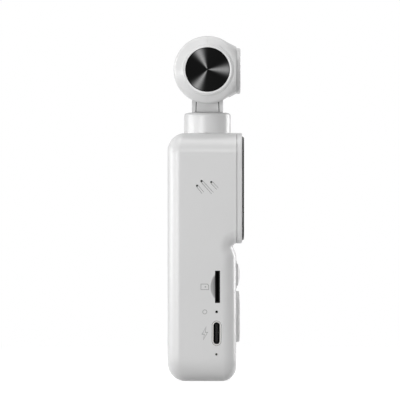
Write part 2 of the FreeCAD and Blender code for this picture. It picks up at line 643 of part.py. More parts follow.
def build_shell(envelope, cavity):
    """Main shell with every opening in it."""
    body = common("ShellBlock", envelope, box("ShellSpace", "-front - 1", "seam", "-half_width - 1",
                                              "half_width + 1", "-1", "tall + 1"))
    tools = [cavity]
    tools.append(rod("CableWay", "Z", "hub", "tall - wall - 1", "tall + 1"))
    tools.append(rod("JoyDish", "X", "joy_dish", "back - joy_dish_deep", "back + 1", 0, "joy_height"))
    tools.append(rod("JoyHole", "X", "joy_hole", "back - back_wall - 1", "back", 0, "joy_height"))
    tools.append(ring("JoyRingSeat", "X", "joy_dish + joy_ring + fit", "joy_dish", "back - joy_dish_deep",
                      "back + 1", 0, "joy_height"))
    tools.append(pill("PadSeat", "pad_half + fit", "pad_low - fit", "pad_high + fit",
                      "back - pad_seat", "back + 1"))
    tools.append(pill("KeyWay", "key_half + key_gap", "key_low - key_gap", "key_high + key_gap",
                      "back - back_wall - 1", "back"))
    tools.append(rod("KeyPinBore", "Y", "key_pin + run_gap", "-key_half - key_pin_long - 2 * fit",
                     "key_half + key_pin_long + 2 * fit", "key_pivot", "(key_low + key_high) / 2"))
    tools.append(usb_pill("UsbWay", "run_gap", "-half_width - 1", "wall - half_width + 1"))
    tools.append(pinhole("ResetHole", "pinhole", "side_row", "reset_height"))
    tools.append(pinhole("MicHole", "pinhole", "side_row", "mic_height"))
    tools.append(box("SlotWay", "slot_middle - slot_half", "slot_middle + slot_half", "-half_width - 1",
                     "wall - half_width + 1", "slot_low", "slot_high"))
    ball = doc.addObject("Part::Sphere", "NotchBall")
    bind(ball, Radius="sqrt(notch_round ^ 2 + notch_stand ^ 2)")
    place(ball, "notch_centre", "-half_width - notch_stand", "notch_middle")
    tools.append(common("Notch", ball, box("NotchSide", "-front", "slot_middle", "-half_width - 1", "0",
                                           "slot_low", "slot_high")))
    for name in MIC_GROOVES:
        tools.extend(mic_groove(name))
    tools.append(rod("InsertSeat", "Z", "insert_wall", "-1", "wall + 1"))
    node("main_shell", cut("Shell", body, *tools))


def build_screen(envelope):
    """Screen frame, glass and display panel."""
    space = box("FrameSpace", "seam + seam_gap", "pod_back + 1", "-half_width - 1", "half_width + 1",
                "pod_bottom - 1", "tall + 1")
    outer = common("FrameBlock", envelope, space)
    outer_edge = rounded("FrameEdge", outer, "frame_edge", lambda edge: lies_at(edge, "X", size("pod_back")))
    lip = box("FrameLip", "seam", "seam + seam_gap", "-window_half - 1", "window_half + 1",
              "window_low - 1", "window_high + 1")
    opening = box("FrameOpening", "seam - 1", "pod_back + 1", "-window_half", "window_half",
                  "window_low", "window_high")
    node("screen_frame", cut("Frame", fuse("FrameSolid", outer_edge, lip), opening))
    plate = box("GlassPlate", "pod_back", "pod_back + glass_thick", "-glass_half", "glass_half",
                "glass_low", "glass_high")
    corners = rounded("GlassCorners", plate, "glass_corner", lambda edge: straight(edge, "X"))
    node("screen_glass", rounded("Glass", corners, "glass_edge",
                                 lambda edge: lies_at(edge, "X", size("pod_back + glass_thick"))))
    node("display_panel", box("Panel", "pod_back - panel_thick", "pod_back", "fit - window_half",
                              "window_half - fit", "window_low + fit", "window_high - fit"))


def screw(name, axis, head_start, head_end, shank_end, u, v):
    """Small screw: its head between two planes and its shank to shank_end."""
    ahead = size(head_end) < size(shank_end)
    shank_low, shank_high = (head_end, shank_end) if ahead else (shank_end, head_start)
    head = rod(name + "Head", axis, "screw_head", head_start, head_end, u, v)
    shank = rod(name + "Shank", axis, "screw_shank", shank_low, shank_high, u, v)
    return fuse(name, head, shank)


def build_inside():
    """Chassis, battery, boards, sockets and speaker inside the grip."""
    far = "-chassis_face - chassis_thick"
    plate = box("ChassisPlate", far, "-chassis_face", "-window_half", "window_half",
                "wall + chassis_end", "tall - wall - chassis_end")
    ears = [box(f"ChassisEar{number}", far, "-chassis_face", "fit + wall - half_width",
                "half_width - wall - fit", low, f"{low} + ear_tall")
            for number, low in enumerate(("ear_low", "tall - ear_drop"))]
    corners = [("-post_low_side", "post_low"), ("post_low_side", "post_low"),
               ("post_side - half_width", "tall - post_drop"), ("half_width - post_side", "tall - post_drop")]
    under = "main_board_face - main_board_thick"
    posts = []
    bores = []
    screws = []
    for number, (side, height) in enumerate(corners):
        posts.append(rod(f"Post{number}", "X", "screw_head + post_wall", "-chassis_face - fit", under,
                         side, height))
        bores.append(rod(f"PostBore{number}", "X", "screw_shank", f"{far} - fit", "main_board_face",
                         side, height))
        screws.append(screw(f"BoardScrew{number}", "X", "main_board_face",
                            "main_board_face + screw_head_tall", "4 * fit - chassis_face", side, height))
    shelf = box("BatteryShelf", "fit + wall - front", f"{far} + fit", "shelf_side - half_width",
                "half_width - shelf_side", "shelf_low", "shelf_low + shelf_thick")
    node("chassis", cut("Chassis", fuse("ChassisSolid", plate, shelf, *ears, *posts), *bores))
    pieces("board_screws", screws)
    cell = box("Cell", "wall + 2 * fit - front", far, "cell_side - half_width", "half_width - cell_side",
               "shelf_low + shelf_thick", "tall - cell_drop")
    node("battery", rounded("Battery", cell, "cell_round", lambda edge: straight(edge, "Z")))
    board = box("MainBoardBlank", under, "main_board_face", "main_board_side - half_width",
                "half_width - main_board_side", "insert_deep + main_board_foot", "tall - main_board_drop")
    holes = [rod(f"BoardHole{number}", "X", "screw_shank", f"{under} - 1", "main_board_face + 1",
                 side, height)
             for number, (side, height) in enumerate(corners)]
    node("main_board", cut("MainBoard", board, *holes))
    node("board_shield", box("Shield", "main_board_face", "main_board_face + shield_rise", "-shield_half",
                             "shield_half", "slot_high + shield_foot", "tall - shield_drop"))
    inner_side = "wall - half_width"
    socket = box("CardSocketBlock", "main_board_face", "slot_middle + slot_half + socket_wall",
                 f"{inner_side} + fit", f"{inner_side} + fit + socket_long",
                 "slot_low - socket_end", "slot_high + socket_end")
    card_way = box("CardWay", "slot_middle - card_half", "slot_middle + card_half", "-half_width",
                   f"{inner_side} + fit + socket_long - 1", "slot_low + card_end", "slot_high - card_end")
    node("card_socket", cut("CardSocket", socket, card_way))
    mouth = "usb_inset - half_width"
    shell = usb_pill("UsbOuter", "0", mouth, f"{mouth} + usb_deep")
    inside = usb_pill("UsbInner", "-usb_wall", "-half_width", f"{mouth} + usb_deep - usb_back")
    tongue = box("UsbTongue", "side_row - usb_tongue", "side_row + usb_tongue", f"{mouth} + tongue_inset",
                 f"{mouth} + usb_deep - usb_back / 2", "usb_height - tongue_half", "usb_height + tongue_half")
    node("usb_socket", fuse("UsbSocket", cut("UsbShell", shell, inside), tongue))
    switch_side = f"{inner_side} + reset_inset"
    switch = box("ResetBlock", "main_board_face", "side_row + reset_rise", switch_side,
                 f"{switch_side} + reset_long", "reset_height - reset_half", "reset_height + reset_half")
    row = ("side_row", "reset_height")
    pocket_end = f"{switch_side} + reset_pocket"
    pocket = rod("ResetPocket", "Y", "reset_plunger + run_gap", f"{switch_side} - 1", pocket_end, *row)
    node("reset_switch", cut("ResetSwitch", switch, pocket))
    node("reset_plunger", rod("ResetPlunger", "Y", "reset_plunger", f"{inner_side} + fit",
                              f"{pocket_end} - reset_travel - run_gap", *row))
    mics = [box("LowMicCan", "main_board_face", "side_row + mic_rise", f"{inner_side} + fit",
                f"{inner_side} + fit + mic_long", "mic_height - mic_half", "mic_height + mic_half")]
    for name in MIC_GROOVES:
        mics.append(rod(f"{name}MicCan", "Y", "mic_can", inner_side, f"{inner_side} + mic_can_long",
                        f"{name}_hole", f"tall - {name}_hole_drop"))
    pieces("microphones", mics)
    foot = "wall + insert_deep + speaker_foot"
    cone = box("SpeakerBlock", "wall - front + speaker_inset", far, "-speaker_half", "speaker_half",
               foot, f"{foot} + speaker_tall")
    node("speaker", rounded("Speaker", cone, "speaker_round", lambda edge: straight(edge, "Z")))


def build_tripod_insert():
    """Threaded insert in the base."""
    flange = rod("InsertBody", "Z", "insert_wall", "0", "insert_deep + insert_floor")
    bore = rod("InsertBore", "Z", "insert_bore", "-1", "insert_deep")
    node("tripod_insert", cut("Insert", flange, bore))


def build_joystick():
    """Five-way joystick: base, gimbal yoke, stem, cap and trim ring."""
    middle = "joy_height"
    node("joystick_ring", ring("JoyRing", "X", "joy_dish + joy_ring", "joy_dish", "back - joy_dish_deep",
                               "back + joy_ring_proud", 0, middle))
    block = box("JoyBlock", "board_back", "back - back_wall - fit", "-joy_block", "joy_block",
                f"{middle} - joy_block", f"{middle} + joy_block")
    well = rod("JoyWell", "X", "joy_well", "board_back + fit", "back", 0, middle)
    trunnion = rod("JoyTrunnionBore", "Y", "yoke_pin + run_gap", "2 * fit - joy_block", "joy_block - 2 * fit",
                   "joy_pivot", middle)
    node("joystick_base", cut("JoyBase", block, well, trunnion))
    yoke_ring = ring("YokeRing", "X", "yoke", "yoke_bore", "joy_pivot - yoke_half", "joy_pivot + yoke_half",
                     0, middle)
    pin_line = rod("YokePin", "Y", "yoke_pin", "3 * fit - joy_block", "joy_block - 3 * fit", "joy_pivot",
                   middle)
    pin_gap = rod("YokePinGap", "X", "(yoke + yoke_bore) / 2", "joy_pivot - 1", "joy_pivot + 1", 0, middle)
    yoke_pins = cut("YokePins", pin_line, pin_gap)
    stem_bore = rod("YokeBore", "Z", "stem_pin + run_gap", f"{middle} - yoke - run_gap",
                    f"{middle} + yoke + run_gap", "joy_pivot", 0)
    node("joystick_yoke", cut("Yoke", fuse("YokeSolid", yoke_ring, yoke_pins), stem_bore))
    foot = rod("StemFoot", "X", "stem_foot", "joy_pivot - stem_foot_half", "joy_pivot + stem_foot_half",
               0, middle)
    post = rod("StemPost", "X", "joy_stem", "joy_pivot", "back - fit", 0, middle)
    pin = rod("StemPin", "Z", "stem_pin", f"{middle} - yoke + fit", f"{middle} + yoke - fit", "joy_pivot", 0)
    node("joystick_stem", fuse("Stem", foot, post, pin))
    under = "(back + joy_gap - joy_dish_deep)"
    side = rod("CapSide", "X", "joy_cap", under, "back + joy_dome", 0, middle)
    rise = "(joy_proud - joy_dome)"
    dome_round = f"((joy_cap ^ 2 + {rise} ^ 2) / (2 * {rise}))"
    ball = doc.addObject("Part::Sphere", "CapBall")
    bind(ball, Radius=dome_round)
    place(ball, f"back + joy_proud - {dome_round}", "0", middle)
    dome_space = rod("CapDomeSpace", "X", "joy_cap", "back + joy_dome", "back + joy_proud + 1", 0, middle)
    dome = common("CapDome", ball, dome_space)
    neck = rod("CapNeck", "X", "joy_stem + joy_neck_wall", "back - joy_neck_deep", f"{under} + fit",
               0, middle)
    socket = rod("CapSocket", "X", "joy_stem + run_gap", "back - joy_neck_deep - 1",
                 "back - fit + joy_travel + run_gap", 0, middle)
    node("joystick_cap", cut("JoyCap", fuse("CapSolid", side, dome, neck), socket))


def build_keys():
    """Button surround, rocker key, its switches and the button board."""
    pad_top = "back + pad_proud"
    base = pill("PadBase", "pad_half", "pad_low", "pad_high", "back - pad_seat", pad_top)
    base_edge = rounded("PadEdge", base, "pad_edge", lambda edge: lies_at(edge, "X", size(pad_top)))
    rim = pill("PadRim", "rim_half", "rim_low", "rim_high", pad_top, f"{pad_top} + rim_rise")
    inner_rim = pill("PadRimInside", "rim_half - rim_wide", "rim_low + rim_wide", "rim_high - rim_wide",
                     "back", f"{pad_top} + 1")
    way = pill("PadWay", "key_half + key_gap", "key_low - key_gap", "key_high + key_gap",
               "back - 1", f"{pad_top} + 1")
    raised = cut("PadRimRing", rim, inner_rim)
    node("button_surround", cut("Surround", fuse("SurroundSolid", base_edge, raised), way))
    middle = "(key_low + key_high) / 2"
    bar = pill("KeyBar", "key_half", "key_low", "key_high", "key_pivot - key_under", "back + key_proud")
    bar_edge = rounded("KeyRound", bar, "key_edge", lambda edge: lies_at(edge, "X", size("back + key_proud")))
    pin = rod("KeyPin", "Y", "key_pin", "-key_half - key_pin_long", "key_half + key_pin_long",
              "key_pivot", middle)
    switch_top = "board_back + switch_can + switch_rise"
    heights = [f"{middle} {sign} key_leg_offset" for sign in "+-"]
    legs = [rod(f"KeyLeg{number}", "X", "key_leg", f"{switch_top} + switch_free", "key_pivot", 0, height)
            for number, height in enumerate(heights)]
    node("rocker_key", fuse("RockerKey", bar_edge, pin, *legs))
    switches = []
    for number, height in enumerate(heights):
        can = box(f"SwitchCan{number}", "board_back", "board_back + switch_can", "-switch_half",
                  "switch_half", f"{height} - switch_half", f"{height} + switch_half")
        dome = rod(f"SwitchDome{number}", "X", "switch_button", "board_back + switch_can", switch_top,
                   0, height)
        switches.append(fuse(f"Switch{number}", can, dome))
    pieces("key_switches", switches)
    node("button_board", box("ButtonBoard", "board_back - board_thick", "board_back", "-board_half",
                             "board_half", "pad_low - board_end", "joy_height + board_reach"))


def motor(name, axis, base, u, v, inward):
    """Brushless motor on a line parallel to axis, built from base, inward being +1 or -1 along the axis."""
    def span(low, high):
        return (f"({base}) + ({low})", f"({base}) + ({high})") if inward > 0 else (
            f"({base}) - ({high})", f"({base}) - ({low})")

    parts = ("stator_low", "stator_high", "hub_end", "disc_low", "disc_high", "bell")
    stator_low, stator_high, hub_end, disc_low, disc_high, bell = [f"{name}_{part}" for part in parts]
    hub = ring(name + "Hub", axis, "hub", "bearing", *span("0", hub_end), u, v)
    reach = f"{bell} - bell_wall - air_gap"
    low, high = span(stator_low, stator_high)
    core = rod(name + "Core", axis, "hub + core_wall", low, high, u, v)
    kinds = (("Tooth", "tooth_half", "hub", f"{reach} - shoe / 2", "0"),
             ("Coil", "coil_half", "hub + core_wall + fit", f"{reach} - shoe - run_gap", "coil_over"))
    spokes = {"Tooth": [], "Coil": []}
    for number in range(int(size("slots"))):
        turn = Rotation(Vector(0, 0, 1), 360 * number / size("slots"))
        for kind, half, inner, outer, over in kinds:
            block = doc.addObject("Part::Box", f"{name}{kind}{number}")
            bind(block, Length=f"{outer} - ({inner})", Width=f"2 * {half}",
                 Height=f"({high}) - ({low}) + 2 * {over}")
            spoke = FreeCAD.Placement(Vector(*[size(item) for item in along(axis, low, u, v)]), TURNS[axis])
            spoke = spoke.multiply(FreeCAD.Placement(Vector(0, 0, 0), turn))
            corner = Vector(size(inner), -size(half), -size(over))
            block.Placement = spoke.multiply(FreeCAD.Placement(corner, Rotation()))
            spokes[kind].append(block)
    shoes = ring(name + "Shoes", axis, reach, f"{reach} - shoe", low, high, u, v)
    solid = fuse(name + "Lamination", core, shoes, *spokes["Tooth"])
    bore = rod(name + "StatorBore", axis, "hub", low, high, u, v)
    node(name + "_stator", cut(name + "Stator", solid, bore))
    pieces(name + "_windings", [cut(f"{name}Winding{number}", coil, solid)
                                for number, coil in enumerate(spokes["Coil"])])
    first = ring(name + "BearingA", axis, "bearing", "shaft",
                 *span("bearing_inset", "bearing_inset + bearing_thick"), u, v)
    second = ring(name + "BearingB", axis, "bearing", "shaft",
                  *span(f"{hub_end} - fit - bearing_thick", f"{hub_end} - fit"), u, v)
    pieces(name + "_bearings", [first, second])
    disc = rod(name + "Disc", axis, bell, *span(disc_low, disc_high), u, v)
    skirt = ring(name + "Skirt", axis, bell, f"{bell} - bell_wall",
                 *span(f"{stator_low} - bell_over", disc_low), u, v)
    shaft = rod(name + "Shaft", axis, "shaft - shaft_gap",
                *span("bearing_inset + run_gap", disc_low), u, v)
    way = rod(name + "ShaftWay", axis, "cable_hole", *span("0", disc_high), u, v)
    rotor = cut(name + "Rotor", fuse(name + "RotorSolid", disc, skirt, shaft), way)
    return hub, rotor


def build_pan():
    """Pan motor: collar, stator and rotor on top of the grip."""
    floor = "tall + collar_floor"
    hub, rotor = motor("pan", "Z", floor, 0, 0, 1)
    outside = rod("CollarBody", "Z", "collar", "tall", "collar_top")
    edge = rounded("CollarEdge", outside, "collar_edge", lambda item: lies_at(item, "Z", size("collar_top")))
    bore = rod("CollarBore", "Z", "collar_bore", floor, "collar_top + 1")
    way = rod("CollarWay", "Z", "bearing", "tall - 1", f"{floor} + 1")
    node("pan_collar", fuse("Collar", cut("CollarShell", edge, bore, way), hub))
    node("pan_rotor", rotor)
    return f"{floor} + pan_disc_high"


def wedge(name, half_angle, reach, y0, y1):
    """Sector below the roll axis, open for the neck."""
    return padded_at(name, (
        ("0", "0"),
        (f"-({reach}) * tan({half_angle})", f"-({reach})"),
        (f"({reach}) * tan({half_angle})", f"-({reach})"),
    ), y0, y1)


def padded_at(name, points, y0, y1):
    """Outline about the head's centre, seen from the front, padded between two depths."""
    body = padded(name, "XZ_Plane", points, f"({y1}) - ({y0})", middle=False)
    place(body, "0", y1, "head_height")
    return body


def build_pan_arm(rotor_top):
    """Neck and cup that carry the roll motor."""
    floor = "-arm_back - cup_floor"
    hub, rotor = motor("roll", "Y", floor, 0, "head_height", -1)
    foot = rod("NeckFoot", "Z", "pan_bell", rotor_top, "neck_base")
    body = doc.addObject("PartDesign::Body", "NeckBody")
    profile = sketch(body, "YZ_Plane", "NeckOutline", (
        ("-neck_front_base", "neck_base"),
        ("neck_back_base", "neck_base"),
        ("-arm_back", "neck_knee + 1"),
        ("-arm_back", "head_height"),
        ("-arm_front", "head_height"),
        ("-arm_front", "neck_knee"),
    ))
    pad = body.newObject("PartDesign::Pad", "NeckPad")
    pad.Profile = profile
    pad.Midplane = True
    bind(pad, Length="2 * neck_half")
    body.Tip = pad
    cup = rod("CupBody", "Y", "cup", "-arm_front", "-arm_back", 0, "head_height")
    well = rod("CupWell", "Y", "cup - cup_wall", "-arm_front - 1", floor, 0, "head_height")
    hub_way = rod("CupWay", "Y", "bearing", "-arm_front", "-arm_back - 1", 0, "head_height")
    slab = padded_at("PanelSlab", (
        ("-panel_low_half", "neck_base + panel_foot - head_height"),
        ("panel_low_half", "neck_base + panel_foot - head_height"),
        ("panel_top_half", "-cup - panel_head"),
        ("-panel_top_half", "-cup - panel_head"),
    ), "-arm_front - 1", "0")
    recess = padded_at("PanelRecess", (
        ("-panel_low_half - panel_gap", "neck_base - 1 - head_height"),
        ("panel_low_half + panel_gap", "neck_base - 1 - head_height"),
        ("panel_top_half + panel_gap", "-cup - panel_head / 2"),
        ("-panel_top_half - panel_gap", "-cup - panel_head / 2"),
    ), "-arm_front - 1", "0")
    front_layer = doc.addObject("PartDesign::Body", "NeckFront")
    layer = sketch(front_layer, "YZ_Plane", "NeckFrontOutline", (
        ("-neck_front_base - 2", "neck_base - 0.5"),
        ("panel_deep - neck_front_base", "neck_base - 0.5"),
        ("panel_deep - arm_front", "neck_knee"),
        ("panel_deep - arm_front", "head_height"),
        ("-arm_front - 2", "head_height"),
    ))
    layer_pad = front_layer.newObject("PartDesign::Pad", "NeckFrontPad")
    layer_pad.Profile = layer
    layer_pad.Midplane = True
    bind(layer_pad, Length="2 * neck_half")
    front_layer.Tip = layer_pad
    arm_solid = fuse("ArmSolid", foot, body, cup)
    channel = common("PanelChannel", recess, front_layer)
    arm = cut("ArmCut", arm_solid, well, hub_way, channel)
    node("pan_arm", fuse("PanArm", arm, hub))
    node("neck_panel", common("NeckPanel", common("PanelLayer", slab, front_layer), body))
    return rotor


def build_roll_arm(rotor):
    """Round shell in two halves with the nose that carries the tilt motor."""
    centre = (0, "head_height")
    outside = rod("DishBody", "Y", "dish", "-dish_front", "-dish_skirt", *centre)
    edge = rounded("DishEdge", outside, "dish_edge", lambda item: lies_at(item, "Y", -size("dish_front")))
    inside = rod("DishInside", "Y", "dish - dish_wall", "dish_face - dish_front", "0", *centre)
    neck_way = wedge("NeckWay", "neck_clear", "dish + 2", "-dish_back", "1")
    nose_way = wedge("NoseWay", "nose_clear", "dish + 2", "-dish_back", "-neck_way_back")
    screws = [rod(f"RollScrew{number}", "Y", "screw_shank", "-dish_front", "screw_long - dish_front",
                  f"screw_circle * cos({angle})", f"head_height + screw_circle * sin({angle})")
              for number, angle in enumerate((45, 135, 225, 315))]
    dish = cut("Dish", edge, inside, neck_way, *screws)
    nose = padded_at("NoseBlock", (
        ("nose_start", "-nose_start_half"),
        ("nose", "-nose_half"),
        ("nose", "nose_half"),
        ("nose_start", "nose_start_half"),
    ), "-nose_front", "tilt_offset")
    nose_edge = rounded("NoseEdge", nose, "nose_edge", lambda item: lies_at(item, "Y", -size("nose_front"))
                        and item.BoundBox.XLength > 1)
    arm_way = rod("ArmWay", "Y", "arm_clear", "dish_face - dish_front", "arm_gap - arm_back", *centre)
    camera_way = box("CameraWay", "0", "tilt_inner", "arm_gap - arm_back", "tilt_offset + 1",
                     "head_height - dish", "head_height + dish")
    flare = "(nose_start_half - nose_half) / (nose - nose_start)"
    housing = taper("TiltHousing", "X", f"nose_half + (nose - tilt_inner) * {flare}", "nose_half",
                    "tilt_inner", "nose", "tilt_offset", "head_height")
    bore = rod("TiltBore", "X", "tilt_bore", "tilt_inner - 1", "nose + 1", "tilt_offset", "head_height")
    heights = ("head_height - dish - 2", "head_height + dish + 2")
    right = box("RightSide", "dish_split", "nose", "-dish_front - 1", "0", *heights)
    half = common("RightDish", dish, right)
    bridge = cut("Bridge", nose_edge, arm_way, camera_way, nose_way)
    seat = cut("TiltSeat", housing, arm_way, bore)
    node("roll_arm", fuse("RollArm", half, cut("BridgeBored", bridge, bore), seat))
    left = box("LeftSide", "-dish - 2", "-dish_split", "-dish_front - 1", "0", *heights)
    node("roll_cover", common("RollCover", dish, left))
    front = "-dish_front"
    bezel = ring("Bezel", "Y", "bezel", "trim", f"{front} - bezel_proud", front, *centre)
    node("roll_bezel", rounded("RollBezel", bezel, "bezel_edge",
                               lambda item: lies_at(item, "Y", -size("dish_front + bezel_proud"))
                               and item.BoundBox.XMax > size("trim + bezel_wide / 2")))
    node("roll_trim_ring", ring("TrimRing", "Y", "trim", "cap + trim_gap", f"{front} - trim_proud", front,
                                *centre))
    disc = rod("CapDisc", "Y", "cap", f"{front} - cap_proud", front, *centre)
    node("roll_cap", rounded("RollCap", disc, "cap_edge",
                             lambda item: lies_at(item, "Y", -size("dish_front + cap_proud"))))
    pieces("roll_screws", screws)
    node("roll_rotor", cut("RollRotorBored", rotor, gather("RollScrewWays", screws)))


def build_tilt():
    """Tilt motor, its cap and the black disc let into it."""
    axis = ("tilt_offset", "head_height")
    hub, rotor = motor("tilt", "X", "tilt_base", *axis, -1)
    plate = rod("TiltPlate", "X", "tilt_cap", "nose + tilt_groove", "tilt_cap_outer", *axis)
    plate_edge = rounded("TiltPlateEdge", plate, "tilt_cap_edge",
                         lambda item: lies_at(item, "X", size("tilt_cap_outer")))
    spigot = rod("TiltSpigot", "X", "tilt_bore - run_gap", "nose - tilt_spigot", "nose + tilt_groove", *axis)
    pocket = rod("TiltPocket", "X", "tilt_pocket", "nose - 1", "tilt_base", *axis)
    seat_floor = "tilt_cap_outer - tilt_disc_deep"
    seat = rod("TiltDiscSeat", "X", "tilt_disc", seat_floor, "tilt_cap_outer + 1", *axis)
    shell = cut("TiltCapShell", fuse("TiltCapSolid", plate_edge, spigot), pocket, seat)
    node("tilt_cap", fuse("TiltCap", shell, hub))
    node("tilt_cap_disc", rod("TiltDisc", "X", "tilt_disc - run_gap", seat_floor, "tilt_cap_outer - fit",
                              *axis))
    node("tilt_rotor", rotor)


def build_camera():
    """Camera module: shells, lens and image sensor."""
    axis = ("tilt_offset", "head_height")
    drum = rod("CameraDrum", "X", "camera", "-camera_left", "camera_right", *axis)
    ends = (-size("camera_left"), size("camera_right"))
    drum_edge = rounded("CameraDrumEdge", drum, "camera_edge",
                        lambda item: any(lies_at(item, "X", end) for end in ends))

    def squared(name, half, corner, y0, y1):
        blank = box(name + "Blank", f"lens_middle - ({half})", f"lens_middle + ({half})", y0, y1,
                    f"head_height - ({half})", f"head_height + ({half})")
        return rounded(name, blank, corner, lambda item: straight(item, "Y"))

    block = squared("LensBlock", "lens_half", "lens_corner", "tilt_offset", "lens_block_front")
    block_edge = rounded("LensBlockEdge", block, "lens_block_edge",
                         lambda item: lies_at(item, "Y", size("lens_block_front")))
    whole = fuse("CameraSolid", drum_edge, block_edge)
    hollow = rod("CameraHollow", "X", "camera - camera_wall", "camera_wall - camera_left",
                 "camera_right - camera_wall", *axis)
    lens_axis = ("lens_middle", "head_height")
    lens_way = rod("LensWay", "Y", "barrel + fit", "tilt_offset", "lens_block_front + 1", *lens_axis)
    plate_corner = "lens_corner - lens_half + lens_plate_half"
    plate_floor = "lens_block_front - lens_plate"
    plate_seat = squared("PlateSeat", "lens_plate_half + fit", plate_corner, plate_floor,
                         "lens_block_front + 1")
    cased = cut("CameraCase", whole, hollow, lens_way, plate_seat)
    sides = ("-camera_left - 1", "camera_right + 1")
    heights = ("head_height - camera - 1", "head_height + camera + 1")
    front_space = box("FrontSpace", *sides, "tilt_offset + camera_split + fit", "lens_block_front + 1",
                      *heights)
    rear_space = box("RearSpace", *sides, "-camera", "tilt_offset + camera_split", *heights)
    node("camera_front_shell", common("FrontShell", cased, front_space))
    node("camera_rear_shell", common("RearShell", cased, rear_space))
    front = "lens_block_front + fit"
    plate = squared("LensPlateSolid", "lens_plate_half", f"{plate_corner} - fit", plate_floor, front)
    plate_hole = rod("LensPlateHole", "Y", "barrel + fit", f"{plate_floor} - 1", f"{front} + 1", *lens_axis)
    node("lens_plate", cut("LensPlate", plate, plate_hole))
    node("lens_ring", ring("LensRing", "Y", "lens_ring", "barrel + fit", front,
                           f"{front} + lens_ring_proud", *lens_axis))
    mouth = f"{front} + barrel_proud"
    node("lens_barrel", ring("Barrel", "Y", "barrel", "barrel_bore", "tilt_offset + sensor_front", mouth,
                             *lens_axis))
    elements = [rod("FrontGlass", "Y", "barrel", mouth, f"{mouth} + front_glass", *lens_axis)]
    for number, offset in enumerate(("element_one", "element_two", "element_three")):
        start = f"tilt_offset + {offset}"
        elements.append(rod(f"Element{number}", "Y", "barrel_bore", start, f"{start} + element_thick",
                            *lens_axis))
    pieces("lens_elements", elements)
    sensor_floor = "tilt_offset - sensor_back"
    node("image_sensor", box("Sensor", "lens_middle - sensor_half_wide", "lens_middle + sensor_half_wide",
                             sensor_floor, "tilt_offset + sensor_front",
                             "head_height - sensor_half_tall", "head_height + sensor_half_tall"))
    node("sensor_board", box("SensorBoard", "lens_middle - sensor_board_half_wide",
                             "lens_middle + sensor_board_half_wide",
                             f"{sensor_floor} - sensor_board", sensor_floor,
                             "head_height - sensor_board_half_tall", "head_height + sensor_board_half_tall"))


envelope = grip_envelope()
build_shell(envelope, grip_cavity())
build_screen(envelope)
build_inside()
build_tripod_insert()
build_joystick()
build_keys()
build_roll_arm(build_pan_arm(build_pan()))
build_tilt()
build_camera()
doc.recompute()

for thing in doc.Objects:
    if "Invalid" in thing.State or "Error" in thing.State:
        raise RuntimeError(f"{thing.Name} failed: {thing.State}")
for thing in NODES:
    if thing.Shape.isNull() or not thing.Shape.isValid() or not thing.Shape.Solids:
        raise RuntimeError(f"{thing.Label} has no valid solid")

os.makedirs("parts", exist_ok=True)
for thing in NODES:
    thing.Shape.exportStep(f"parts/{thing.Label}.step")
    print(f"{thing.Label}: {len(thing.Shape.Solids)} solid(s), {thing.Shape.Volume:.1f} mm3")
print(len(NODES), "nodes")
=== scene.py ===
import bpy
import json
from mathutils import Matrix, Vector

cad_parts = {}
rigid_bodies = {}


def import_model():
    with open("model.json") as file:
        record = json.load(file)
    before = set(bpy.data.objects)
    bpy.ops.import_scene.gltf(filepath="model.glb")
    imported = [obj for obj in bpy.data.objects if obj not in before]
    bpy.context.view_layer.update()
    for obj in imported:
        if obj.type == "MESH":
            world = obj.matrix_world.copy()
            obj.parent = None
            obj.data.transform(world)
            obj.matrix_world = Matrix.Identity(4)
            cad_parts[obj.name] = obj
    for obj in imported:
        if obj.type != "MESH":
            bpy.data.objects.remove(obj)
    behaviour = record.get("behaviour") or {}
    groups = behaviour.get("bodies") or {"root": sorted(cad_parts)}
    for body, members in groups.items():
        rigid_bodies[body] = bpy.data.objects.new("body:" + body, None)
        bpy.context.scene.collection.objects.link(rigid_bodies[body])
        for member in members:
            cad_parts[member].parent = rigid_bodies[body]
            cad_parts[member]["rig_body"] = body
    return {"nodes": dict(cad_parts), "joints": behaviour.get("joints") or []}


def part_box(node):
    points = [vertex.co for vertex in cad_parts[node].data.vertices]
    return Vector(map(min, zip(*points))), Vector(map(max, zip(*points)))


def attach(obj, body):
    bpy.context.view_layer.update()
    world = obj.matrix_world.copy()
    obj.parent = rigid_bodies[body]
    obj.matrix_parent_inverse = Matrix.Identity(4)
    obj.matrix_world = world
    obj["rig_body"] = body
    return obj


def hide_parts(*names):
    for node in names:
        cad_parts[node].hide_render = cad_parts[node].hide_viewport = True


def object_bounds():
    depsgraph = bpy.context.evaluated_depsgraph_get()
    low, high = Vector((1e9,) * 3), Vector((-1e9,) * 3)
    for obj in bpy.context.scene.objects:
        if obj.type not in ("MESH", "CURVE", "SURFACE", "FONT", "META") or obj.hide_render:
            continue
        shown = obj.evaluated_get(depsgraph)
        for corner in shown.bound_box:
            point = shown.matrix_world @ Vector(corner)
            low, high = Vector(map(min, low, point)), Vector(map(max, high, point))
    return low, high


bl_info = {
    "name": "Pocket Gimbal Camera",
    "version": (1, 0, 0),
    "blender": (4, 5, 0),
    "location": "View3D > Sidebar > Gimbal Camera",
    "description": "Finishes the packed pocket gimbal camera and sets up its studio",
    "category": "3D View",
}

import json
import math

import bmesh
import bpy
from bpy.props import FloatProperty, FloatVectorProperty, IntProperty, PointerProperty
from mathutils import Matrix, Vector

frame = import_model()
CAD_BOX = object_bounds()

MM = 0.001
# Vertices nearer to each other than this are one
WELD = 2e-6
# Clearance that keeps two faces out of one plane
HAIR = 0.02 * MM
# Edges of made pieces stay sharp above this angle
CREASE = math.radians(35)
# Steps on each rounded corner of a slot
CORNER_STEPS = 6
# Both ends of each microphone groove, across and up in mm, and the stretch of the side face that holds them
GROOVES = (
    ((-3.80, 71.77), (-1.60, 69.10)),
    ((-2.18, 73.50), (1.95, 68.90)),
    ((1.40, 73.10), (3.75, 70.60)),
)
GROOVE_ZONE = ((-5 * MM, 5 * MM), (68 * MM, 75 * MM))


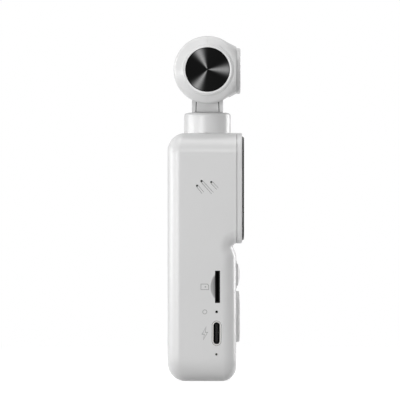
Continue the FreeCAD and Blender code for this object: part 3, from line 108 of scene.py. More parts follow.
def joint_point(name):
    """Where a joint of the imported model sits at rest."""
    joint = next(item for item in frame["joints"] if item["name"] == name)
    return Vector(joint["pos_m"])


def body_of(node):
    """Body that a CAD node rides on."""
    return frame["nodes"][node]["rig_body"]


def middle(node):
    """Middle of a CAD node's box."""
    low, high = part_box(node)
    return (low + high) / 2


# Where the side with the card slot and the charging socket lies, from front to back
SIDE_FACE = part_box("main_shell")[0].y
HEAD_CENTRE = joint_point("roll")
TILT_CENTRE = joint_point("tilt")
# The record's materials, and the one that each CAD node has
SLOTS = {name: node.data.materials[0].name.split(".")[0] for name, node in frame["nodes"].items()}


# Meshes

def mesh_piece(name, mesh, body, finish):
    """Object made from a mesh, with its finish, riding on a body."""
    piece = bpy.data.objects.new(name, mesh)
    bpy.context.scene.collection.objects.link(piece)
    mesh.materials.clear()
    mesh.materials.append(bpy.data.materials[finish])
    bpy.context.view_layer.update()
    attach(piece, body)
    return piece


def finished_mesh(name, work):
    """Mesh data from a work mesh, with its faces turned outwards."""
    bmesh.ops.remove_doubles(work, verts=work.verts, dist=WELD / 4)
    bmesh.ops.recalc_face_normals(work, faces=work.faces)
    sharpen(work, CREASE)
    mesh = bpy.data.meshes.new(name)
    work.to_mesh(mesh)
    work.free()
    return mesh


def finished_piece(name, work, body, finish):
    """Piece made from a work mesh."""
    return mesh_piece(name, finished_mesh(name, work), body, finish)


def sharpen(work, angle):
    """Smooth faces, sharp edges where two faces meet at more than the angle."""
    for face in work.faces:
        face.smooth = True
    for edge in work.edges:
        edge.smooth = len(edge.link_faces) == 2 and edge.calc_face_angle(0.0) < angle


def sharpen_grooves(work):
    """Keeps the edges sharp where the microphone grooves run out of the side face."""
    (left, right), (low, high) = GROOVE_ZONE
    for edge in work.edges:
        if all(abs(vertex.co.y - SIDE_FACE) < WELD and left < vertex.co.x < right and low < vertex.co.z < high
               for vertex in edge.verts):
            if len(edge.link_faces) == 2 and edge.calc_face_angle(0.0) > math.radians(1):
                edge.smooth = False


def smooth_copy(node, angle):
    """Welded and smoothly shaded copy of a CAD node, which it stands for."""
    name = node + "_finished"
    work = bmesh.new()
    work.from_mesh(frame["nodes"][node].data)
    bmesh.ops.remove_doubles(work, verts=work.verts, dist=WELD)
    bmesh.ops.dissolve_degenerate(work, edges=work.edges, dist=WELD)
    sharpen(work, angle)
    if node == "main_shell":
        sharpen_grooves(work)
    mesh = bpy.data.meshes.new(name)
    work.to_mesh(mesh)
    work.free()
    for attribute in [item for item in mesh.attributes if item.name == "custom_normal"]:
        mesh.attributes.remove(attribute)
    piece = mesh_piece(name, mesh, body_of(node), SLOTS[node])
    even = piece.modifiers.new("Even shading", "WEIGHTED_NORMAL")
    even.keep_sharp = True
    even.weight = 50
    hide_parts(node)
    return piece


def solid_boxes(node):
    """Box of each separate solid of a CAD node."""
    work = bmesh.new()
    work.from_mesh(frame["nodes"][node].data)
    bmesh.ops.remove_doubles(work, verts=work.verts, dist=WELD)
    left = set(work.verts)
    boxes = []
    while left:
        front = [left.pop()]
        found = list(front)
        while front:
            vertex = front.pop()
            for edge in vertex.link_edges:
                other = edge.other_vert(vertex)
                if other in left:
                    left.remove(other)
                    front.append(other)
                    found.append(other)
        low = Vector(min(vertex.co[axis] for vertex in found) for axis in range(3))
        high = Vector(max(vertex.co[axis] for vertex in found) for axis in range(3))
        boxes.append((low, high))
    work.free()
    return boxes


def join_loops(work, outer, inner):
    """Faces between two closed loops of vertices."""
    count = len(outer)
    for index in range(count):
        after = (index + 1) % count
        work.faces.new((outer[index], outer[after], inner[after], inner[index]))


def prism(work, first, second):
    """Closed solid between two outlines of points."""
    loops = [[work.verts.new(point) for point in outline] for outline in (first, second)]
    join_loops(work, *loops)
    for loop in loops:
        work.faces.new(loop)


def lathe(work, profile, centre, axis, steps):
    """Profile of (distance along the axis, radius) pairs, turned about the axis."""
    turn = Vector((0, 0, 1)).rotation_difference(Vector(axis)).to_matrix()
    rings = []
    for along, radius in profile:
        ring = []
        for step in range(steps):
            angle = 2 * math.pi * step / steps
            spot = Vector((radius * math.cos(angle), radius * math.sin(angle), along))
            ring.append(work.verts.new(centre + turn @ spot))
        rings.append(ring)
    for lower, upper in zip(rings, rings[1:]):
        join_loops(work, lower, upper)
    return rings


def band(work, outline, width, deep):
    """Closed line of even width on the side face, a hair proud of it."""
    count = len(outline)
    points = [Vector(point) for point in outline]
    inner, outer = [], []
    for index, here in enumerate(points):
        into = (here - points[index - 1]).normalized()
        out = (points[(index + 1) % count] - here).normalized()
        across = Vector((-(into + out).y, (into + out).x)).normalized()
        reach = width / 2 / max(across.dot(Vector((-into.y, into.x))), 0.5)
        inner.append(here - across * reach)
        outer.append(here + across * reach)
    for index in range(count):
        after = (index + 1) % count
        corners = (inner[index], inner[after], outer[after], outer[index])
        top = [work.verts.new((spot.x, SIDE_FACE - deep, spot.y)) for spot in corners]
        low = [work.verts.new((spot.x, SIDE_FACE + deep, spot.y)) for spot in corners]
        work.faces.new(top)
        work.faces.new((top[0], top[1], low[1], low[0]))
        work.faces.new((top[2], top[3], low[3], low[2]))


def arc(centre, radius, start, end, steps):
    """Points on an arc, angles in degrees."""
    points = []
    for step in range(steps + 1):
        angle = math.radians(start + (end - start) * step / steps)
        points.append((centre[0] + radius * math.cos(angle), centre[1] + radius * math.sin(angle)))
    return points


# Shader building

class Graph:
    """Adds nodes to a shader tree from left to right and links their sockets."""

    spacing = 190

    def __init__(self, tree):
        self.tree = tree
        self.across = 0

    def add(self, kind, inputs=None, **settings):
        """New node with its settings and inputs; an input is a value or another node's output."""
        made = self.tree.nodes.new(kind)
        made.location = (self.across, 0)
        self.across += self.spacing
        for name, value in settings.items():
            setattr(made, name, value)
        for name, value in (inputs or {}).items():
            self.feed(made.inputs[name], value)
        return made

    def feed(self, socket, value):
        """Links an output to the socket, or writes the value in it."""
        if isinstance(value, bpy.types.NodeSocket):
            self.tree.links.new(value, socket)
        else:
            socket.default_value = value

    def place(self):
        """Output of the object's own coordinates."""
        return self.add("ShaderNodeTexCoord").outputs["Object"]

    def sum(self, operation, *values):
        """Output of a Math node."""
        return self.add("ShaderNodeMath", dict(enumerate(values)), operation=operation).outputs[0]

    def vector(self, operation, *values):
        """Vector Math node."""
        return self.add("ShaderNodeVectorMath", dict(enumerate(values)), operation=operation)

    def noise(self, spot, scale, detail, **inputs):
        """Output of a Noise Texture node."""
        made = self.add("ShaderNodeTexNoise", {"Vector": spot, "Scale": scale, "Detail": detail, **inputs})
        return made.outputs["Fac"]

    def span(self, value, low, high, to_low, to_high):
        """Value carried over from one range to another."""
        made = self.add("ShaderNodeMapRange", {"Value": value, "From Min": low, "From Max": high,
                                               "To Min": to_low, "To Max": to_high})
        return made.outputs["Result"]

    def blend(self, factor, first, second):
        """Colour between two colours."""
        made = self.add("ShaderNodeMix", data_type="RGBA")
        self.feed(made.inputs[0], factor)
        self.feed(made.inputs[6], first)
        self.feed(made.inputs[7], second)
        return made.outputs[2]


def effect(name, inputs, outputs):
    """Node group with its sockets; each input is (name, kind, default)."""
    group = bpy.data.node_groups.new(name, "ShaderNodeTree")
    for label, kind, default in inputs:
        socket = group.interface.new_socket(name=label, in_out="INPUT", socket_type="NodeSocket" + kind)
        socket.default_value = default
    for label, kind in outputs:
        group.interface.new_socket(name=label, in_out="OUTPUT", socket_type="NodeSocket" + kind)
    graph = Graph(group)
    entry = graph.add("NodeGroupInput")
    leave = group.nodes.new("NodeGroupOutput")
    return graph, entry.outputs, leave.inputs


# What most effects put out
SURFACE = (("Colour", "Color"), ("Roughness", "Float"), ("Height", "Float"))


def moulded_grain():
    """Fine spark-eroded grain of a moulded housing, with faint uneven tone and gloss."""
    graph, take, give = effect(
        "Moulded grain",
        (("Colour", "Color", (0.8, 0.8, 0.8, 1)), ("Deep Colour", "Color", (0.7, 0.7, 0.7, 1)),
         ("Grain Size", "Float", 0.2 * MM), ("Roughness", "Float", 0.45), ("Unevenness", "Float", 0.05)),
        SURFACE)
    spot = graph.place()
    grain = graph.noise(spot, graph.sum("DIVIDE", 1.0, take["Grain Size"]), 3.0, Roughness=0.6)
    cloud = graph.noise(spot, 55.0, 2.0)
    tone = graph.span(cloud, 0.35, 0.65, 0.0, 1.0)
    graph.feed(give["Colour"], graph.blend(tone, take["Colour"], take["Deep Colour"]))
    offset = graph.sum("SUBTRACT", cloud, 0.5)
    graph.feed(give["Roughness"], graph.sum("MULTIPLY_ADD", offset, take["Unevenness"], take["Roughness"]))
    graph.feed(give["Height"], grain)


def turned_face():
    """Concentric tool marks about an axis, with a painted sheen: sectors painted brighter in the colour where
    the marks would catch the light.
    """
    graph, take, give = effect(
        "Turned face",
        (("Centre", "Vector", (0, 0, 0)), ("Plane", "Vector", (1, 0, 1)),
         ("Colour", "Color", (0.01, 0.01, 0.01, 1)), ("Sheen Colour", "Color", (0.3, 0.3, 0.3, 1)),
         ("First", "Vector", (1, 0, 0)), ("Second", "Vector", (-0.44, 0, 0.9)),
         ("Third", "Vector", (-0.54, 0, -0.84)), ("Sheen Width", "Float", 50.0), ("Radius", "Float", 8 * MM),
         ("Pitch", "Float", 0.15 * MM), ("Roughness", "Float", 0.3)),
        SURFACE)
    away = graph.vector("SUBTRACT", graph.place(), take["Centre"]).outputs[0]
    flat = graph.vector("MULTIPLY", away, take["Plane"]).outputs[0]
    reach = graph.vector("LENGTH", flat).outputs["Value"]
    heading = graph.vector("NORMALIZE", flat).outputs[0]
    rings = graph.add("ShaderNodeTexNoise", {"W": graph.sum("DIVIDE", reach, take["Pitch"]), "Scale": 1.0,
                                             "Detail": 2.0}, noise_dimensions="1D")
    marks = rings.outputs["Fac"]
    # Painted sheen: three bright sectors, pointed by First, Second and Third, painted into the colour
    painted_lobes = []
    for name in ("First", "Second", "Third"):
        facing = graph.vector("DOT_PRODUCT", heading, take[name]).outputs["Value"]
        painted_lobes.append(graph.sum("POWER", graph.sum("MAXIMUM", facing, 0.0), take["Sheen Width"]))
    painted_sheen = graph.sum("MAXIMUM", graph.sum("MAXIMUM", painted_lobes[0], painted_lobes[1]), painted_lobes[2])
    # The painted sheen fades out at the rim and the middle, and the marks break it up
    share = graph.sum("DIVIDE", reach, take["Radius"])
    rim = graph.span(share, 1.0, 0.96, 0.0, 1.0)
    core = graph.span(share, 0.0, 0.1, 0.0, 1.0)
    veil = graph.span(marks, 0.25, 0.75, 0.7, 1.0)
    painted_sheen_mask = graph.sum("MULTIPLY", graph.sum("MULTIPLY", painted_sheen, rim), graph.sum("MULTIPLY", core, veil))
    graph.feed(give["Colour"], graph.blend(painted_sheen_mask, take["Colour"], take["Sheen Colour"]))
    graph.feed(give["Roughness"], graph.sum("MULTIPLY_ADD", marks, 0.12, take["Roughness"]))
    graph.feed(give["Height"], marks)


def handling():
    """Faint smears from being held, on glass."""
    graph, take, give = effect(
        "Handling marks",
        (("Roughness", "Float", 0.05), ("Smear", "Float", 0.1), ("Smear Size", "Float", 6 * MM)),
        (("Roughness", "Float"),))
    smear = graph.noise(graph.place(), graph.sum("DIVIDE", 1.0, take["Smear Size"]), 4.0, Distortion=1.2)
    mask = graph.span(smear, 0.45, 0.75, 0.0, 1.0)
    graph.feed(give["Roughness"], graph.sum("MULTIPLY_ADD", mask, take["Smear"], take["Roughness"]))


def drawn_sheet():
    """Long rolling or drawing marks along one direction in sheet metal."""
    graph, take, give = effect(
        "Drawn sheet",
        (("Colour", "Color", (0.6, 0.6, 0.6, 1)), ("Deep Colour", "Color", (0.5, 0.5, 0.5, 1)),
         ("Stretch", "Vector", (9000, 9000, 400)), ("Roughness", "Float", 0.3)),
        SURFACE)
    drawn = graph.vector("MULTIPLY", graph.place(), take["Stretch"]).outputs[0]
    marks = graph.noise(drawn, 1.0, 3.0)
    graph.feed(give["Colour"], graph.blend(marks, take["Colour"], take["Deep Colour"]))
    graph.feed(give["Roughness"], graph.sum("MULTIPLY_ADD", marks, 0.15, take["Roughness"]))
    graph.feed(give["Height"], marks)


def layered_stripes():
    """Even stripes across one direction, for stacked sheets and wound wire."""
    graph, take, give = effect(
        "Layered stripes",
        (("Across", "Vector", (0, 0, 1)), ("Pitch", "Float", 0.2 * MM),
         ("Colour", "Color", (0.5, 0.5, 0.5, 1)), ("Line Colour", "Color", (0.1, 0.1, 0.1, 1))),
        (("Colour", "Color"), ("Height", "Float")))
    along = graph.vector("DOT_PRODUCT", graph.place(), take["Across"]).outputs["Value"]
    turn = graph.sum("DIVIDE", graph.sum("MULTIPLY", along, 2 * math.pi), take["Pitch"])
    wave = graph.span(graph.sum("SINE", turn), -1.0, 1.0, 0.0, 1.0)
    wide = graph.sum("POWER", wave, 0.6)
    graph.feed(give["Colour"], graph.blend(wide, take["Line Colour"], take["Colour"]))
    graph.feed(give["Height"], wave)


def new_finish(name, **constants):
    """Material with a Principled shader whose plain numbers are set on its own sockets."""
    material = bpy.data.materials.get(name) or bpy.data.materials.new(name)
    material.use_nodes = True
    tree = material.node_tree
    tree.nodes.clear()
    graph = Graph(tree)
    shader = tree.nodes.new("ShaderNodeBsdfPrincipled")
    shader.location = (900, 0)
    leave = tree.nodes.new("ShaderNodeOutputMaterial")
    leave.location = (1200, 0)
    graph.feed(leave.inputs["Surface"], shader.outputs["BSDF"])
    for label, value in constants.items():
        shader.inputs[label.replace("_", " ")].default_value = value
    return graph, shader.inputs


def dress(graph, shader, group, bump=0.0, depth=0.01 * MM, **values):
    """Places an effect and feeds colour, roughness and relief from it to the shader."""
    placed = graph.add("ShaderNodeGroup", node_tree=bpy.data.node_groups[group])
    for label, value in values.items():
        graph.feed(placed.inputs[label.replace("_", " ")], value)
    for output, target in (("Colour", "Base Color"), ("Roughness", "Roughness")):
        if output in placed.outputs:
            graph.feed(shader[target], placed.outputs[output])
    if bump:
        relief = graph.add("ShaderNodeBump", {"Height": placed.outputs["Height"], "Strength": bump,
                                              "Distance": depth})
        graph.feed(shader["Normal"], relief.outputs["Normal"])


def opaque(colour, share=1.0):
    """Colour with full alpha, darkened by a share."""
    return (colour[0] * share, colour[1] * share, colour[2] * share, 1.0)


def grey(level):
    """Neutral colour."""
    return opaque((level, level, level))


# Finishes

def plastic_finishes(look):
    """Moulded housing, controls, lens plate and the dark inner plastics."""
    graph, shader = new_finish("shell", Coat_Weight=0.5, Coat_Roughness=0.2)
    dress(graph, shader, "Moulded grain", bump=0.1, depth=0.03 * MM, Colour=opaque(look.shell_colour),
          Deep_Colour=opaque(look.shell_colour, 0.985), Grain_Size=look.grain_size,
          Roughness=look.shell_roughness, Unevenness=0.04)
    graph, shader = new_finish("controls", Coat_Weight=0.4, Coat_Roughness=0.22)
    dress(graph, shader, "Moulded grain", bump=0.1, depth=0.03 * MM, Colour=opaque(look.control_colour),
          Deep_Colour=opaque(look.control_colour, 0.985), Grain_Size=look.grain_size * 0.8,
          Roughness=0.38, Unevenness=0.04)
    graph, shader = new_finish("lens_plate", Coat_Weight=0.5, Coat_Roughness=0.08)
    dress(graph, shader, "Moulded grain", bump=0.1, depth=0.02 * MM, Colour=(0.008, 0.008, 0.009, 1),
          Deep_Colour=(0.012, 0.012, 0.013, 1), Grain_Size=0.3 * MM, Roughness=0.22, Unevenness=0.08)
    graph, shader = new_finish("black_plastic", Specular_IOR_Level=0.2)
    dress(graph, shader, "Moulded grain", bump=0.2, depth=0.03 * MM, Colour=grey(0.007),
          Deep_Colour=grey(0.011), Grain_Size=0.18 * MM, Roughness=0.55, Unevenness=0.15)


# Black border between the edge of the display and its picture, across and up
DISPLAY_BORDER = (0.4 * MM, 0.8 * MM)


def glass_finishes():
    """Screen glass over a dark display, lens glass and the display itself."""
    graph, shader = new_finish("screen_glass", IOR=1.5, Specular_IOR_Level=0.3)
    low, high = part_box("display_panel")
    place = graph.add("ShaderNodeSeparateXYZ", {"Vector": graph.place()})
    rise = graph.sum("ABSOLUTE", graph.sum("SUBTRACT", place.outputs["Z"], (high.z + low.z) / 2))
    side = graph.sum("ABSOLUTE", place.outputs["Y"])
    inside = graph.sum("MULTIPLY", graph.sum("LESS_THAN", rise, (high.z - low.z) / 2 - DISPLAY_BORDER[1]),
                       graph.sum("LESS_THAN", side, (high.y - low.y) / 2 - DISPLAY_BORDER[0]))
    graph.feed(shader["Base Color"], graph.blend(inside, grey(0.003), (0.009, 0.0095, 0.012, 1)))
    dress(graph, shader, "Handling marks", Roughness=0.03, Smear=0.05)
    graph, shader = new_finish("lens_glass", IOR=1.6, Transmission_Weight=1.0, Coat_Weight=0.25,
                               Coat_Tint=(0.45, 0.55, 1.0, 1), Coat_Roughness=0.01)
    dress(graph, shader, "Handling marks", Roughness=0.01, Smear=0.04)
    tint = graph.add("ShaderNodeTexGradient", {"Vector": graph.place()}).outputs["Fac"]
    graph.feed(shader["Base Color"], graph.blend(tint, (0.1, 0.13, 0.22, 1), (0.2, 0.14, 0.26, 1)))
    graph, shader = new_finish("display", Coat_Weight=0.4)
    dress(graph, shader, "Layered stripes", Across=(0, 0, 1), Pitch=0.1 * MM,
          Colour=(0.02, 0.022, 0.03, 1), Line_Colour=(0.005, 0.005, 0.006, 1))


def turned_finishes(look):
    """Black spun discs, bright ring, rotor bells, bearings and screws; the turned ones have a painted sheen
    in their colour.
    """
    black = {"Colour": opaque(look.disc_colour), "Sheen_Colour": opaque(look.disc_painted_sheen),
             "Sheen_Width": look.sheen_width, "Pitch": 0.22 * MM, "Roughness": 0.34}
    # Directions of the painted sheen's bright sectors on the black discs
    painted_sheen_sectors = {}
    for label, angle in zip(("First", "Second", "Third"), look.painted_sheen_angles):
        painted_sheen_sectors[label] = (math.cos(angle), 0.0, math.sin(angle))
    graph, shader = new_finish("black_spun_metal", Metallic=1.0, Anisotropic=0.6)
    dress(graph, shader, "Turned face", bump=0.05, Centre=HEAD_CENTRE, Plane=(1, 0, 1),
          Radius=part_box("roll_cap")[1].x, **black, **painted_sheen_sectors)
    along = graph.add("ShaderNodeTangent", direction_type="RADIAL", axis="Y")
    graph.feed(shader["Tangent"], along.outputs["Tangent"])
    low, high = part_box("tilt_cap_disc")
    # The tilt disc has the same painted sheen, in its own plane
    graph, shader = new_finish("tilt_disc", Metallic=1.0, Anisotropic=0.6)
    dress(graph, shader, "Turned face", bump=0.05, Centre=TILT_CENTRE, Plane=(0, 1, 1),
          Radius=(high.z - low.z) / 2, First=(0, 1, 0), Second=(0, -0.44, 0.9), Third=(0, -0.54, -0.84),
          **black)
    along = graph.add("ShaderNodeTangent", direction_type="RADIAL", axis="X")
    graph.feed(shader["Tangent"], along.outputs["Tangent"])
    # The bright ring and the rotor bells also carry a painted sheen
    graph, shader = new_finish("bright_ring", Metallic=1.0)
    dress(graph, shader, "Turned face", bump=0.01, Centre=HEAD_CENTRE, Colour=grey(0.5),
          Sheen_Colour=grey(0.58), Sheen_Width=9.0, Radius=20 * MM, Pitch=0.12 * MM, Roughness=0.3)
    graph, shader = new_finish("rotor_metal", Metallic=1.0)
    dress(graph, shader, "Turned face", bump=0.1, Centre=HEAD_CENTRE, Colour=(0.42, 0.42, 0.43, 1),
          Sheen_Colour=(0.6, 0.6, 0.61, 1), Sheen_Width=5.0, Radius=20 * MM, Pitch=0.1 * MM, Roughness=0.3)
    graph, shader = new_finish("bearing_steel", Metallic=1.0)
    dress(graph, shader, "Drawn sheet", bump=0.1, Colour=(0.62, 0.62, 0.64, 1),
          Deep_Colour=(0.5, 0.5, 0.52, 1), Roughness=0.18)
    graph, shader = new_finish("screw_steel", Metallic=1.0)
    dress(graph, shader, "Drawn sheet", bump=0.1, Colour=(0.4, 0.4, 0.41, 1),
          Deep_Colour=(0.3, 0.3, 0.31, 1), Roughness=0.28)


def inner_finishes():
    """Chassis, shields, boards, battery, motors and the brass insert."""
    graph, shader = new_finish("chassis", Metallic=0.9)
    dress(graph, shader, "Moulded grain", bump=0.5, depth=0.04 * MM, Colour=(0.36, 0.36, 0.37, 1),
          Deep_Colour=(0.3, 0.3, 0.31, 1), Grain_Size=0.15 * MM, Roughness=0.5, Unevenness=0.1)
    graph, shader = new_finish("shield_can", Metallic=1.0)
    dress(graph, shader, "Drawn sheet", bump=0.15, Colour=(0.62, 0.61, 0.59, 1),
          Deep_Colour=(0.5, 0.49, 0.48, 1), Stretch=(9000, 900, 9000), Roughness=0.26)
    # Brass insert with a painted sheen in three sectors of its colour
    graph, shader = new_finish("brass", Metallic=1.0)
    dress(graph, shader, "Turned face", bump=0.15, Centre=(0, 0, 0), Plane=(1, 1, 0),
          Colour=(0.62, 0.43, 0.17, 1), Sheen_Colour=(0.85, 0.65, 0.32, 1), First=(1, 0, 0),
          Second=(-0.5, 0.86, 0), Third=(-0.5, -0.86, 0), Sheen_Width=6.0, Radius=20 * MM,
          Pitch=0.12 * MM, Roughness=0.25)
    graph, shader = new_finish("battery_wrap", Coat_Weight=0.2)
    dress(graph, shader, "Moulded grain", bump=0.3, depth=0.1 * MM, Colour=(0.10, 0.11, 0.13, 1),
          Deep_Colour=(0.13, 0.14, 0.16, 1), Grain_Size=1.5 * MM, Roughness=0.42, Unevenness=0.2)
    graph, shader = new_finish("circuit_board", Coat_Weight=0.3)
    tracks = graph.add("ShaderNodeTexVoronoi", {"Vector": graph.place(), "Scale": 900.0},
                       distance="MANHATTAN", feature="DISTANCE_TO_EDGE")
    edge = graph.sum("LESS_THAN", tracks.outputs["Distance"], 0.08)
    graph.feed(shader["Base Color"], graph.blend(edge, (0.01, 0.06, 0.03, 1), (0.03, 0.13, 0.06, 1)))
    graph.feed(shader["Roughness"], graph.span(edge, 0.0, 1.0, 0.45, 0.3))
    graph, shader = new_finish("motor_iron", Metallic=0.9, Roughness=0.4)
    dress(graph, shader, "Layered stripes", bump=0.3, depth=0.05 * MM, Across=(0.4, 1, 0.3),
          Pitch=0.25 * MM, Colour=(0.22, 0.22, 0.23, 1), Line_Colour=(0.08, 0.08, 0.085, 1))
    graph, shader = new_finish("windings", Metallic=0.8, Roughness=0.3, Coat_Weight=0.5)
    dress(graph, shader, "Layered stripes", bump=0.6, depth=0.08 * MM, Across=(0.6, 0.6, 0.6),
          Pitch=0.22 * MM, Colour=(0.72, 0.33, 0.14, 1), Line_Colour=(0.3, 0.1, 0.04, 1))


def trim_finishes(look):
    """Printed signs, contact gold, the key's dot and the microphone cloth."""
    graph, shader = new_finish("printed_ink", Specular_IOR_Level=0.3)
    dress(graph, shader, "Moulded grain", bump=0.1, Colour=opaque(look.ink_colour),
          Deep_Colour=opaque(look.ink_colour, 0.92), Grain_Size=look.grain_size, Roughness=0.55,
          Unevenness=0.1)
    graph, shader = new_finish("contact_gold", Metallic=1.0)
    dress(graph, shader, "Drawn sheet", bump=0.05, Colour=(0.85, 0.62, 0.25, 1),
          Deep_Colour=(0.72, 0.5, 0.2, 1), Roughness=0.22)
    graph, shader = new_finish("key_dot")
    dress(graph, shader, "Moulded grain", bump=0.1, Colour=(0.55, 0.02, 0.015, 1),
          Deep_Colour=(0.5, 0.018, 0.013, 1), Grain_Size=0.2 * MM, Roughness=0.4, Unevenness=0.1)
    graph, shader = new_finish("woven_mesh", Metallic=0.6)
    weave = graph.add("ShaderNodeTexChecker", {"Vector": graph.place(), "Scale": 9000.0}).outputs["Fac"]
    graph.feed(shader["Base Color"], graph.blend(weave, grey(0.02), grey(0.09)))
    graph.feed(shader["Roughness"], graph.span(weave, 0.0, 1.0, 0.7, 0.4))


# CAD nodes with curved faces that are in view
SMOOTHED = (
    "main_shell", "screen_frame", "screen_glass", "pan_collar", "pan_arm", "neck_panel", "roll_arm",
    "roll_cover", "roll_trim_ring", "roll_cap", "tilt_cap", "tilt_cap_disc", "camera_front_shell",
    "camera_rear_shell", "lens_plate", "lens_ring", "lens_barrel", "lens_elements", "joystick_cap",
    "joystick_ring", "button_surround", "rocker_key", "usb_socket", "pan_rotor", "roll_rotor", "tilt_rotor",
)


class GIMBAL_OT_finishes(bpy.types.Operator):
    """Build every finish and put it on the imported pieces"""

    bl_idname = "gimbal.finishes"
    bl_label = "Finishes"

    def execute(self, context):
        look = context.scene.gimbal_look
        for build in (moulded_grain, turned_face, handling, drawn_sheet, layered_stripes):
            build()
        for material in list(bpy.data.materials):
            material.name = "packed_" + material.name
        plastic_finishes(look)
        glass_finishes()
        turned_finishes(look)
        inner_finishes()
        trim_finishes(look)
        for name, node in frame["nodes"].items():
            node.material_slots[0].link = "OBJECT"
            node.material_slots[0].material = bpy.data.materials[SLOTS[name]]
        return {"FINISHED"}


class GIMBAL_OT_smooth_pieces(bpy.types.Operator):
    """Shade the outer pieces smoothly between their real edges"""

    bl_idname = "gimbal.smooth_pieces"
    bl_label = "Smooth Pieces"

    def execute(self, context):
        angle = context.scene.gimbal_look.smooth_angle
        for node in SMOOTHED:
            piece = smooth_copy(node, angle)
            if node == "tilt_cap_disc":
                piece.data.materials[0] = bpy.data.materials["tilt_disc"]
        return {"FINISHED"}


# The head's trim

# Section of the stepped ring: share of its height, and share of its width inwards from its outer edge
RING_SECTION = (
    (0.0, 0.0), (0.12, 0.0), (0.3, 0.06), (0.66, 0.4), (0.93, 0.72), (1.0, 0.88), (1.0, 0.97), (0.9, 1.0),
)


def ring_radius():
    """Outer radius of the stepped ring round the black disc."""
    low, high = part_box("roll_bezel")
    return (high.x - low.x) / 2


class GIMBAL_OT_stepped_ring(bpy.types.Operator):
    """Turn the crowned, stepped ring round the head's black disc"""

    bl_idname = "gimbal.stepped_ring"
    bl_label = "Stepped Ring"

    def execute(self, context):
        low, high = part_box("roll_bezel")
        outer = ring_radius()
        wide = outer - (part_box("roll_trim_ring")[1].x - HEAD_CENTRE.x)
        profile = [((high.y - low.y) * rise, outer - wide * inwards) for rise, inwards in RING_SECTION]
        ring = bmesh.new()
        lathe(ring, profile, Vector((HEAD_CENTRE.x, high.y, HEAD_CENTRE.z)), (0, -1, 0), steps=160)
        bezel = finished_piece("roll_bezel_finished", ring, body_of("roll_bezel"), "shell")
        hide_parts("roll_bezel")
        return {"FINISHED"}


# Share of the front's round up to which its slope is worked out, since it grows without end there
STEEPEST = 0.9999


def lean_back(piece, trim):
    """Leans the rounded front of the head's shell back a little, and gives it its true normals."""
    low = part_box("roll_cover")[0]
    outer = HEAD_CENTRE.x - low.x
    inner = ring_radius()
    bend = trim.shell_round
    start = outer - bend
    slope = trim.shell_slope / MM
    mesh = piece.data
    normals = [Vector((0, 0, 0)) for vertex in mesh.vertices]
    for vertex in mesh.vertices:
        across = vertex.co.x - HEAD_CENTRE.x
        up = vertex.co.z - HEAD_CENTRE.z
        reach = math.hypot(across, up)
        along = min(max(reach - start, 0.0), STEEPEST * bend)
        level = math.sqrt(bend ** 2 - along ** 2)
        in_reach = start - HAIR < reach < outer + HAIR
        if in_reach and abs(vertex.co.y - low.y - bend + level) < 3 * HAIR:
            fade = min(max((trim.nose_end - across) / trim.nose_fade, 0.0), 1.0)
            sink = slope * (reach - inner) * max(outer - reach, 0.0)
            vertex.co.y += fade * sink
            steep = along / level + fade * slope * (outer + inner - 2 * reach)
            turn = -sink / trim.nose_fade if 0.0 < fade < 1.0 else 0.0
            normal = Vector((steep * across / reach + turn, -1, steep * up / reach))
            normals[vertex.index] = normal.normalized()
    mesh.normals_split_custom_set_from_vertices(normals)
    piece.modifiers.remove(piece.modifiers["Even shading"])


class GIMBAL_OT_head_front(bpy.types.Operator):
    """Lean the front of both halves of the head's shell back"""

    bl_idname = "gimbal.head_front"
    bl_label = "Head Front"

    def execute(self, context):
        for name in ("roll_arm_finished", "roll_cover_finished"):
            lean_back(bpy.data.objects[name], context.scene.gimbal_trim)
        return {"FINISHED"}


class GIMBAL_OT_shell_seam(bpy.types.Operator):
    """Stand a strip behind the parting line of the head's shell, above and below"""

    bl_idname = "gimbal.shell_seam"
    bl_label = "Shell Seam"

    def execute(self, context):
        trim = context.scene.gimbal_trim
        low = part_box("roll_cover")[0]
        radius = HEAD_CENTRE.x - low.x
        bend = trim.shell_round
        steps = 12
        section = []
        for step in range(steps + 1):
            angle = math.pi / 2 * step / steps
            out = radius - bend + (bend - trim.seam_deep) * math.sin(angle)
            back = low.y + bend - (bend - trim.seam_front) * math.cos(angle)
            section.append((back, out))
        section.append((trim.seam_back, radius - trim.seam_deep))
        section.append((trim.seam_back, radius - trim.seam_tall))
        section.append((low.y + bend, radius - trim.seam_tall))
        section.append((low.y + trim.seam_root, radius - bend))
        seam = bmesh.new()
        for side in (1, -1):
            outlines = []
            for across in (-trim.seam_half, trim.seam_half):
                outlines.append([(HEAD_CENTRE.x + across, back, HEAD_CENTRE.z + side * out)
                                 for back, out in section])
            prism(seam, *outlines)
        finished_piece("shell_seam", seam, body_of("roll_cover"), "shell")
        return {"FINISHED"}


class GIMBAL_OT_neck_shade_sheet(bpy.types.Operator):
    """Lay a black sheet under the neck's panel as painted shade, which shows dark in the grooves beside it"""

    bl_idname = "gimbal.neck_gasket"
    bl_label = "Neck Shade Sheet"

    def execute(self, context):
        trim = context.scene.gimbal_trim
        # Painted shade: a black sheet that darkens the grooves beside the neck's panel
        shade_sheet = bmesh.new()
        shade_sheet.from_mesh(frame["nodes"]["neck_panel"].data)
        for vertex in shade_sheet.verts:
            vertex.co.x *= trim.shade_sheet_spread
            vertex.co.y += trim.shade_sheet_deep
        finished_piece("neck_gasket", shade_sheet, body_of("neck_panel"), "black_plastic")
        return {"FINISHED"}


# Trim of the side face

def groove_strip(work, groove, span, section):
    """Strip along a microphone groove; its section is (across, depth) pairs from one side to the other."""
    first, last = (Vector(end) * MM for end in groove)
    along = last - first
    across = Vector((-along.y, along.x)).normalized()
    outlines = []
    for share in span:
        spot = first + along * share
        outlines.append([(spot.x + across.x * reach, SIDE_FACE + depth, spot.y + across.y * reach)
                         for reach, depth in section])
    prism(work, *outlines)


